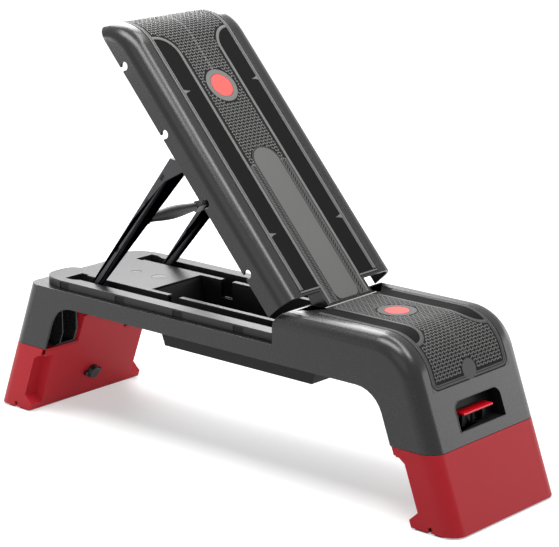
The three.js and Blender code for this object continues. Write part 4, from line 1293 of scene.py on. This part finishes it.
@dataclass
class BackMat(Mat):
    """Mat down the backrest, with the blank badge and its rope-patterned strips."""

    badge_top: float = 0.149
    badge_half: float = 0.0335
    badge_low_r: float = 0.020
    rope_out: float = 0.0530
    strip_gap: float = 0.034
    floor_gap: float = 0.06
    tongue_s: float = -0.2005
    tongue_half: float = 0.060
    hem: float = 6 * MM

    def build(self) -> None:
        """Makes every piece of the backrest's mat."""
        shoulder = self.start - self.hem
        backing = self.base(shoulder, self.end, self.mat_half, "backing")
        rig.replaces(backing, self.node)
        self.base(self.tongue_s, shoulder, self.tongue_half, "tongue")
        self.rubber(shoulder)
        self.borders()
        self.floor(self.badge_top - self.floor_gap)
        self.ring_and_dot([(self.dot_s + self.ring_r, self.tread_end)])
        middle = [(self.badge_top + 2 * MM, 0.0), (self.dot_s - self.ring_r, 0.0)]
        line = ribbon(f"{self.name}_centre_line", middle, 2.2 * MM, Level.BORDER, self.skin)
        self.inlay(line, Look.MAT_FLOOR)
        self.ticks([self.dot_s + 1 * MM, -0.034])
        self.rope_strips()
        self.badge()
        tread = Tread(f"{self.name}_tread", self.badge_top - self.strip_gap, self.tread_end, self.outer_in,
                      self.inside, self.skin)
        self.inlay(tread.build(), Look.STUD)

    def rope_strips(self) -> None:
        """Slate strips with dark slanted bars on both sides of the badge."""
        s0, s1 = self.tongue_s + 1 * MM, self.badge_top - self.strip_gap
        foot, middle = self.start - 4 * MM, (self.badge_half + self.rope_out) / 2
        for side, word in SIDES:
            track, width = [(s0, side * middle), (s1, side * middle)], self.rope_out - self.badge_half
            strip = ribbon(f"{self.name}_strip_{word}", track, width, Level.LINE, self.skin)
            self.inlay(strip, Look.MAT_SLATE)
            rail_y = side * (self.tongue_half - 3.4 * MM)
            rail = [(s0, rail_y), (self.start + 1 * MM, rail_y)]
            end = [(foot, side * (self.tongue_half + 0.5 * MM)), (foot, side * (self.mat_half - 1 * MM))]
            for part, line, wide in (("rail", rail, 5.5 * MM), ("foot", end, 3.2 * MM)):
                piece = ribbon(f"{self.name}_{part}_{word}", line, wide, Level.BORDER, self.skin)
                self.inlay(piece, self.trim)
        rope = Tread(f"{self.name}_rope", s0 + 6 * MM, s1 - 3 * MM, middle, self.in_rope, self.skin,
                     top=Level.BORDER, cell_s=7.4 * MM, cell_y=2 * middle, long=14.0 * MM, wide=2.9 * MM,
                     slant=42.0, weave=Weave.ROPE)
        self.inlay(rope.build(), Look.MAT_FLOOR)

    def badge(self) -> None:
        """The blank badge, with a fine dark groove round it."""
        centre, r, foot = self.badge_top - self.badge_half, self.badge_half, self.tongue_s + 3 * MM
        low_r = self.badge_low_r

        def half(s: np.ndarray) -> np.ndarray:
            """Half width of the badge, round at its top and rounded at its foot.

            Args:
                s: distances along the skin.

            Returns:
                The half width at each of them.
            """
            top = np.clip((s - centre) / r, 0.0, 1.0)
            low = np.clip((foot + low_r - s) / low_r, 0.0, 1.0)
            return r * np.sqrt(1 - top ** 2) - 0.6 * low_r * (1 - np.sqrt(1 - low ** 2))

        plate = band(f"{self.name}_badge", foot, self.badge_top, half, Level.TOP, self.skin, step=1.5 * MM,
                     across=2)
        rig.replaces(plate, "backrest_badge")
        self.frame.keep(plate, self.body, "grey_inlay", Look.BADGE)
        for word, grow, width, level, look in (
                ("groove", 0.7 * MM, 1.6 * MM, Level.BORDER, Look.MAT_FLOOR),
                ("lip", 2.3 * MM, 1.4 * MM, Level.TOP, Look.MAT_SLATE)):
            w = r + grow
            line = [(foot + low_r, w), *arc_points((centre, 0.0), w, 90, -90, 24), (foot + low_r, -w)]
            self.inlay(ribbon(f"{self.name}_badge_{word}", line, width, level, self.skin), look)

    def inside(self, s: np.ndarray, y: np.ndarray) -> np.ndarray:
        """The places in the field that are clear of the badge too."""
        centre = self.badge_top - self.badge_half
        return self.in_field(s, y) & (np.hypot(s - centre, y) > self.badge_half + 5 * MM)

    def in_rope(self, s: np.ndarray, y: np.ndarray) -> np.ndarray:
        """The places on the two strips beside the badge."""
        return np.abs(y) < self.rope_out


# ---------------------------------------------------------------- the sub-assemblies
@dataclass
class Deck:
    """Body shell, deck panel and storage tray, with the beads round the hand holds."""

    frame: Frame
    skin: Skin
    hand_z: Point2 = (0.1705, 0.225)
    hand_half: float = 0.070
    hand_r: float = 0.018
    bead_wide: float = 1.6 * MM
    bead_high: float = 0.5 * MM
    panel_sharp: float = 38.0
    panel_z: float = 0.302
    dimple_places: tuple[tuple[float, float, float], ...] = ((-0.350, 0.002, 0.013), (-0.286, 0.005, 0.018))
    dimple_deep: float = 1.6 * MM
    pocket_x: float = -0.4095
    pocket_pitch: float = 0.161
    pocket_count: int = 4
    pocket_y: float = 0.147
    pocket_z: float = 0.2917
    # Size of each dark plate that paints the shade at the back of a side pocket.
    shade_plate: tuple[float, float, float] = (0.0254, 0.0005, 0.0122)

    def build(self) -> None:
        """Makes the fixed mouldings and their trim."""
        Moulding("body_shell", Look.BODY, 0.9 * MM).build(self.frame)
        self.dimples(Moulding("deck_panel", Look.DECK, 0.9 * MM).build(self.frame))
        self.pocket_shade_plates()
        Moulding("storage_tray", Look.INNER, 0.6 * MM).build(self.frame)
        for word, skin in (("right", self.skin.seat), ("left", self.skin.far)):
            self.bead(word, skin)
            Moulding(f"handle_cup_{word}", Look.INNER, 0.5 * MM).build(self.frame)

    def dimples(self, panel: bpy.types.Object) -> None:
        """Presses two shallow dimples into the panel between the grooves.

        Args:
            panel: the deck panel's moulding.
        """
        for x, y, r in self.dimple_places:
            bpy.ops.object.select_all(action="DESELECT")
            size, place = (r, r, self.dimple_deep), (x, y, self.panel_z)
            bpy.ops.mesh.primitive_uv_sphere_add(segments=48, ring_count=24, radius=1.0, location=place,
                                                 scale=size)
            cutter = bpy.context.object
            settle(cutter)
            add_modifier(panel, "BOOLEAN", operation="DIFFERENCE", object=cutter, solver="EXACT")
            bpy.data.objects.remove(cutter)
        put_in_order(panel)
        even_shading(panel, self.panel_sharp)

    def pocket_shade_plates(self) -> None:
        """Dark plates at the back of the panel's side pockets, which paint the shade inside them."""
        for side, word in SIDES:
            y = side * (self.pocket_y + self.shade_plate[1] / 2)
            for i in range(self.pocket_count):
                x = self.pocket_x + i * self.pocket_pitch
                plate = box(f"pocket_liner_{word}_{i + 1}", (x, y, self.pocket_z), self.shade_plate)
                add_modifier(plate, "BEVEL", width=0.1 * MM, segments=2)
                self.frame.keep(plate, "base", "inner_plastic", Look.INNER)

    def bead(self, word: str, skin: Mapping) -> None:
        """A fine bead round one hand hold.

        Args:
            word: the end of its name, which tells the bench's end.
            skin: places flat points on that end.
        """
        s0, s1 = self.skin.s_at(self.hand_z[1]), self.skin.s_at(self.hand_z[0])
        w, r = self.hand_half, self.hand_r
        loop = [(s1, 0.0), (s1, -w), *arc_points((s0 + r, -w + r), r, 270, 180, 8),
                *arc_points((s0 + r, w - r), r, 180, 90, 8), (s1, w), (s1, 0.0)]
        obj = ribbon(f"hand_hold_bead_{word}", loop, self.bead_wide, self.bead_high, skin, step=1.5 * MM)
        self.frame.keep(obj, "base", "black_plastic", Look.BODY)


@dataclass
class Backrest:
    """Backrest shell with its ribs and fins."""

    frame: Frame

    def build(self) -> None:
        """Makes the backrest's mouldings."""
        Moulding("backrest_shell", Look.BODY, 0.9 * MM).build(self.frame)
        Moulding("backrest_ribs", Look.INNER, 0.5 * MM).build(self.frame)
        for word in ("far", "near"):
            Moulding(f"rack_fin_{word}", Look.INNER, 0.4 * MM).build(self.frame)


@dataclass
class Prop:
    """The folding prop: two arms, the grip and its brackets."""

    frame: Frame
    hinge: Point2 = (-0.375, 0.275)
    angle: float = math.radians(52.2)
    arm_len: float = 0.395
    arm_y: float = 0.105
    slots: tuple[float, ...] = (0.34, 0.70, 0.88)
    plug: tuple[float, float, float] = (0.0137, 0.008, 0.0057)

    def build(self) -> None:
        """Makes the prop's parts."""
        for side, word in SIDES:
            Moulding(f"prop_arm_{word}", Look.COATED, 1.2 * MM, segments=3).build(self.frame)
            Moulding(f"grip_bracket_{word}", Look.BODY, 1.2 * MM, segments=3).build(self.frame)
            self.plugs(side, word)
        Moulding("prop_grip", Look.GRIP, 0.5 * MM).build(self.frame)

    def plugs(self, side: int, word: str) -> None:
        """Black caps pressed into the slots of one arm.

        Args:
            side: 1 for the far arm, -1 for the near one.
            word: the arm's part of the pieces' names.
        """
        for i, share in enumerate(self.slots):
            at = self.arm_len * share
            x, z = self.hinge[0] + at * math.cos(self.angle), self.hinge[1] + at * math.sin(self.angle)
            cap = box(f"prop_cap_{word}_{i + 1}", (x, side * self.arm_y, z), self.plug,
                      (0.0, -self.angle, 0.0))
            add_modifier(cap, "BEVEL", width=0.8 * MM, segments=3)
            smooth(cap)
            self.frame.keep(cap, "prop", "black_plastic", Look.INNER)


@dataclass
class Legs:
    """The red legs with their covers, knobs, latches and foot pads."""

    frame: Frame

    def build(self) -> None:
        """Makes both legs and latches."""
        for word in ("right", "left"):
            Moulding(f"leg_shell_{word}", Look.RED, 0.9 * MM).build(self.frame)
            Moulding(f"leg_cover_{word}", Look.RED, 0.8 * MM).build(self.frame)
            Moulding(f"leg_knob_{word}", Look.BODY, 1.0 * MM, segments=3).build(self.frame)
            Moulding(f"latch_lever_{word}", Look.LEVER, 1.0 * MM, segments=3).build(self.frame)
            Moulding(f"latch_bolt_{word}", Look.INNER, 0.4 * MM).build(self.frame)
            for end in ("a", "b"):
                Moulding(f"foot_pad_{word}_{end}", Look.PAD, 0.5 * MM).build(self.frame)


@dataclass
class Hardware:
    """Pins, screws and springs, which keep their CAD form."""

    frame: Frame
    bright: tuple[str, ...] = ("latch_spring_right", "latch_spring_left")

    def build(self) -> None:
        """Dresses every CAD node that is still shown."""
        for name, node in self.frame.nodes.items():
            if not node.hide_render:
                dress(node, Look.STEEL if name in self.bright else Look.DARK_STEEL)
                LOG.info("%s: dressed", name)


# ---------------------------------------------------------------- the studio
@dataclass(frozen=True)
class Lamp:
    """A rectangular soft lamp: where it stands, what it points at, its size and its power in watts.

    Its beam spreads over `spread` degrees, and glossy surfaces show it where it is `mirrored`.
    """

    name: str
    place: Point3
    aim: Point3
    size: Point2
    power: float
    spread: float = 180.0
    mirrored: bool = True

    def hang(self) -> None:
        """Adds the lamp to the scene."""
        data = bpy.data.lights.new(self.name, "AREA")
        data.shape = "RECTANGLE"
        data.size, data.size_y = self.size
        data.energy = self.power
        data.spread = math.radians(self.spread)
        obj = bpy.data.objects.new(self.name, data)
        obj.visible_glossy = self.mirrored
        way = Vector(self.aim) - Vector(self.place)
        turn = way.to_track_quat("-Z", "Y").to_matrix().to_4x4()
        obj.matrix_world = Matrix.Translation(self.place) @ turn
        bpy.context.scene.collection.objects.link(obj)


@dataclass
class Studio:
    """Camera, soft lamps, pale floor and white surroundings."""

    place: Point3 = (2.83658, -3.18717, 1.50619)
    pitch: float = 74.97
    yaw: float = 41.17
    lens: float = 143.48
    sensor: float = 36.0
    reach: float = 50.0
    fill: float = 0.15
    floor_glow: float = 0.44
    floor_colour: float = 0.60
    floor_r: float = 14.0
    floor_z: float = -0.2 * MM
    near_r: float = 0.9
    far_r: float = 2.2
    lamps: tuple[Lamp, ...] = (
        Lamp("top_lamp", (0.0, -0.75, 2.7), (0.0, 0.0, 0.3), (2.2, 0.9), 76.0),
        Lamp("bend_lamp", (0.7, 0.75, 2.6), (0.4, -0.1, 0.33), (2.6, 0.5), 40.0),
        Lamp("rest_lamp", (1.5, 0.3, 2.6), (-0.1, -0.14, 0.6), (1.0, 1.2), 18.0),
        Lamp("shoulder_lamp", (-1.65, 1.3, 2.0), (0.3, -0.14, 0.33), (1.5, 1.8), 66.0),
        Lamp("left_lamp", (-3.2, -2.4, 0.9), (-0.55, 0.0, 0.12), (1.2, 1.2), 34.0),
        Lamp("low_lamp", (2.2, -2.4, 0.35), (-0.48, 0.0, 0.12), (0.5, 0.3), 1.0, spread=22.0,
             mirrored=False),
        Lamp("deck_lamp", (-2.6, 2.8, 1.5), (-0.2, 0.0, 0.3), (1.7, 1.5), 7.0),
        Lamp("back_lamp", (1.7, 3.0, 0.75), (0.3, 0.0, 0.3), (3.2, 1.1), 30.0),
        Lamp("front_lamp", (1.2, -4.0, 2.6), (0.0, 0.0, 0.25), (3.2, 2.2), 18.0))

    def build(self) -> None:
        """Sets up the whole studio."""
        bpy.context.scene.view_settings.view_transform = "Standard"
        self.camera()
        self.world()
        self.floor()
        for lamp in self.lamps:
            lamp.hang()

    def camera(self) -> None:
        """Adds the scene's camera."""
        data = bpy.data.cameras.new("camera")
        data.lens = self.lens
        data.sensor_width = self.sensor
        data.clip_end = self.reach
        obj = bpy.data.objects.new("camera", data)
        obj.location = self.place
        obj.rotation_euler = (math.radians(self.pitch), 0.0, math.radians(self.yaw))
        bpy.context.scene.collection.objects.link(obj)
        bpy.context.scene.camera = obj

    def world(self) -> None:
        """White for the camera and for reflections, softer as a light."""
        world = bpy.data.worlds.new("studio")
        bpy.context.scene.world = world
        world.use_nodes = True
        nodes, links = world.node_tree.nodes, world.node_tree.links
        background = nodes["Background"]
        level = nodes.new("ShaderNodeMix")
        level.inputs["A"].default_value = self.fill
        level.inputs["B"].default_value = 1.0
        links.new(self.seen(nodes, links), level.inputs["Factor"])
        background.inputs["Color"].default_value = (1.0, 1.0, 1.0, 1.0)
        links.new(level.outputs["Result"], background.inputs["Strength"])

    @staticmethod
    def seen(nodes: bpy.types.Nodes, links: bpy.types.NodeLinks) -> bpy.types.NodeSocket:
        """Adds a value that is one for rays from the camera, a reflection or a transmission.

        Args:
            nodes: the material's or the world's nodes.
            links: its links.

        Returns:
            The value's output socket.
        """
        path = nodes.new("ShaderNodeLightPath")
        total = path.outputs["Is Camera Ray"]
        for label in ("Is Glossy Ray", "Is Transmission Ray"):
            node = nodes.new("ShaderNodeMath")
            node.operation = "MAXIMUM"
            links.new(total, node.inputs[0])
            links.new(path.outputs[label], node.inputs[1])
            total = node.outputs["Value"]
        return total

    def floor(self) -> None:
        """A wide pale floor that keeps the bench's shadow."""
        bpy.ops.object.select_all(action="DESELECT")
        bpy.ops.mesh.primitive_circle_add(vertices=64, radius=self.floor_r, fill_type="NGON",
                                          location=(0.0, 0.0, self.floor_z))
        obj = bpy.context.object
        obj.name = "studio_floor"
        settle(obj)
        made = bpy.data.materials.new("studio_floor")
        made.use_nodes = True
        nodes, links = made.node_tree.nodes, made.node_tree.links
        nodes.remove(nodes["Principled BSDF"])
        matt = nodes.new("ShaderNodeBsdfDiffuse")
        glow = nodes.new("ShaderNodeEmission")
        level = nodes.new("ShaderNodeMix")
        level.inputs["A"].default_value = self.floor_glow
        level.inputs["B"].default_value = 1.0
        links.new(self.faraway(nodes, links), level.inputs["Factor"])
        shown = nodes.new("ShaderNodeMath")
        shown.operation = "MULTIPLY"
        links.new(self.seen(nodes, links), shown.inputs[0])
        links.new(level.outputs["Result"], shown.inputs[1])
        links.new(shown.outputs["Value"], glow.inputs["Strength"])
        matt.inputs["Color"].default_value = (self.floor_colour,) * 3 + (1.0,)
        both = nodes.new("ShaderNodeAddShader")
        links.new(matt.outputs["BSDF"], both.inputs[0])
        links.new(glow.outputs["Emission"], both.inputs[1])
        links.new(both.outputs["Shader"], nodes["Material Output"].inputs["Surface"])
        obj.data.materials.append(made)
        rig.stage(obj)

    def faraway(self, nodes: bpy.types.Nodes, links: bpy.types.NodeLinks) -> bpy.types.NodeSocket:
        """Adds a value that is zero under the bench and rises to one out on the floor.

        Args:
            nodes: the material's nodes.
            links: its links.

        Returns:
            The value's output socket.
        """
        place = nodes.new("ShaderNodeTexCoord")
        length = nodes.new("ShaderNodeVectorMath")
        length.operation = "LENGTH"
        ramp = nodes.new("ShaderNodeMapRange")
        ramp.interpolation_type = "SMOOTHSTEP"
        ramp.inputs["From Min"].default_value = self.near_r
        ramp.inputs["From Max"].default_value = self.far_r
        links.new(place.outputs["Object"], length.inputs[0])
        links.new(length.outputs["Value"], ramp.inputs["Value"])
        return ramp.outputs["Result"]


def box_lists() -> list[list[float]]:
    """The lowest and the highest corner of all that is shown, as plain lists."""
    return [[float(v) for v in corner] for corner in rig.bounds()]


def main() -> None:
    """Builds the studio and every sub-assembly, and reports the sizes."""
    logging.basicConfig(level=logging.INFO, format="%(name)s: %(message)s")
    for obj in list(bpy.data.objects):
        bpy.data.objects.remove(obj)
    frame = Frame()
    cad_box = box_lists()
    Studio().build()
    skin = RaisedSkin()
    Deck(frame, skin).build()
    Backrest(frame).build()
    Prop(frame).build()
    Legs(frame).build()
    SeatMat(frame, skin.seat, "base", "seat_mat", "seat_mat", start=0.245, panel_end=0.474,
            tread_end=0.561, end=0.5725, dot_s=0.344, dot_r=0.0238, panel_in=0.069, border=0.008,
            corner=0.017, trim=Look.MAT_SLATE).build()
    BackMat(frame, skin.back, "backrest", "back_mat", "backrest_mat", start=-0.158, panel_end=0.424,
            tread_end=0.506, end=0.5165, dot_s=0.298, dot_r=0.0258, panel_in=0.061, border=0.0065,
            corner=0.010, trim=Look.MAT_GREY).build()
    Hardware(frame).build()
    with open("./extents.json", "w", encoding="utf-8") as out:
        json.dump({"cad": cad_box, "visual": box_lists()}, out)


if __name__ == "__main__":
    main()
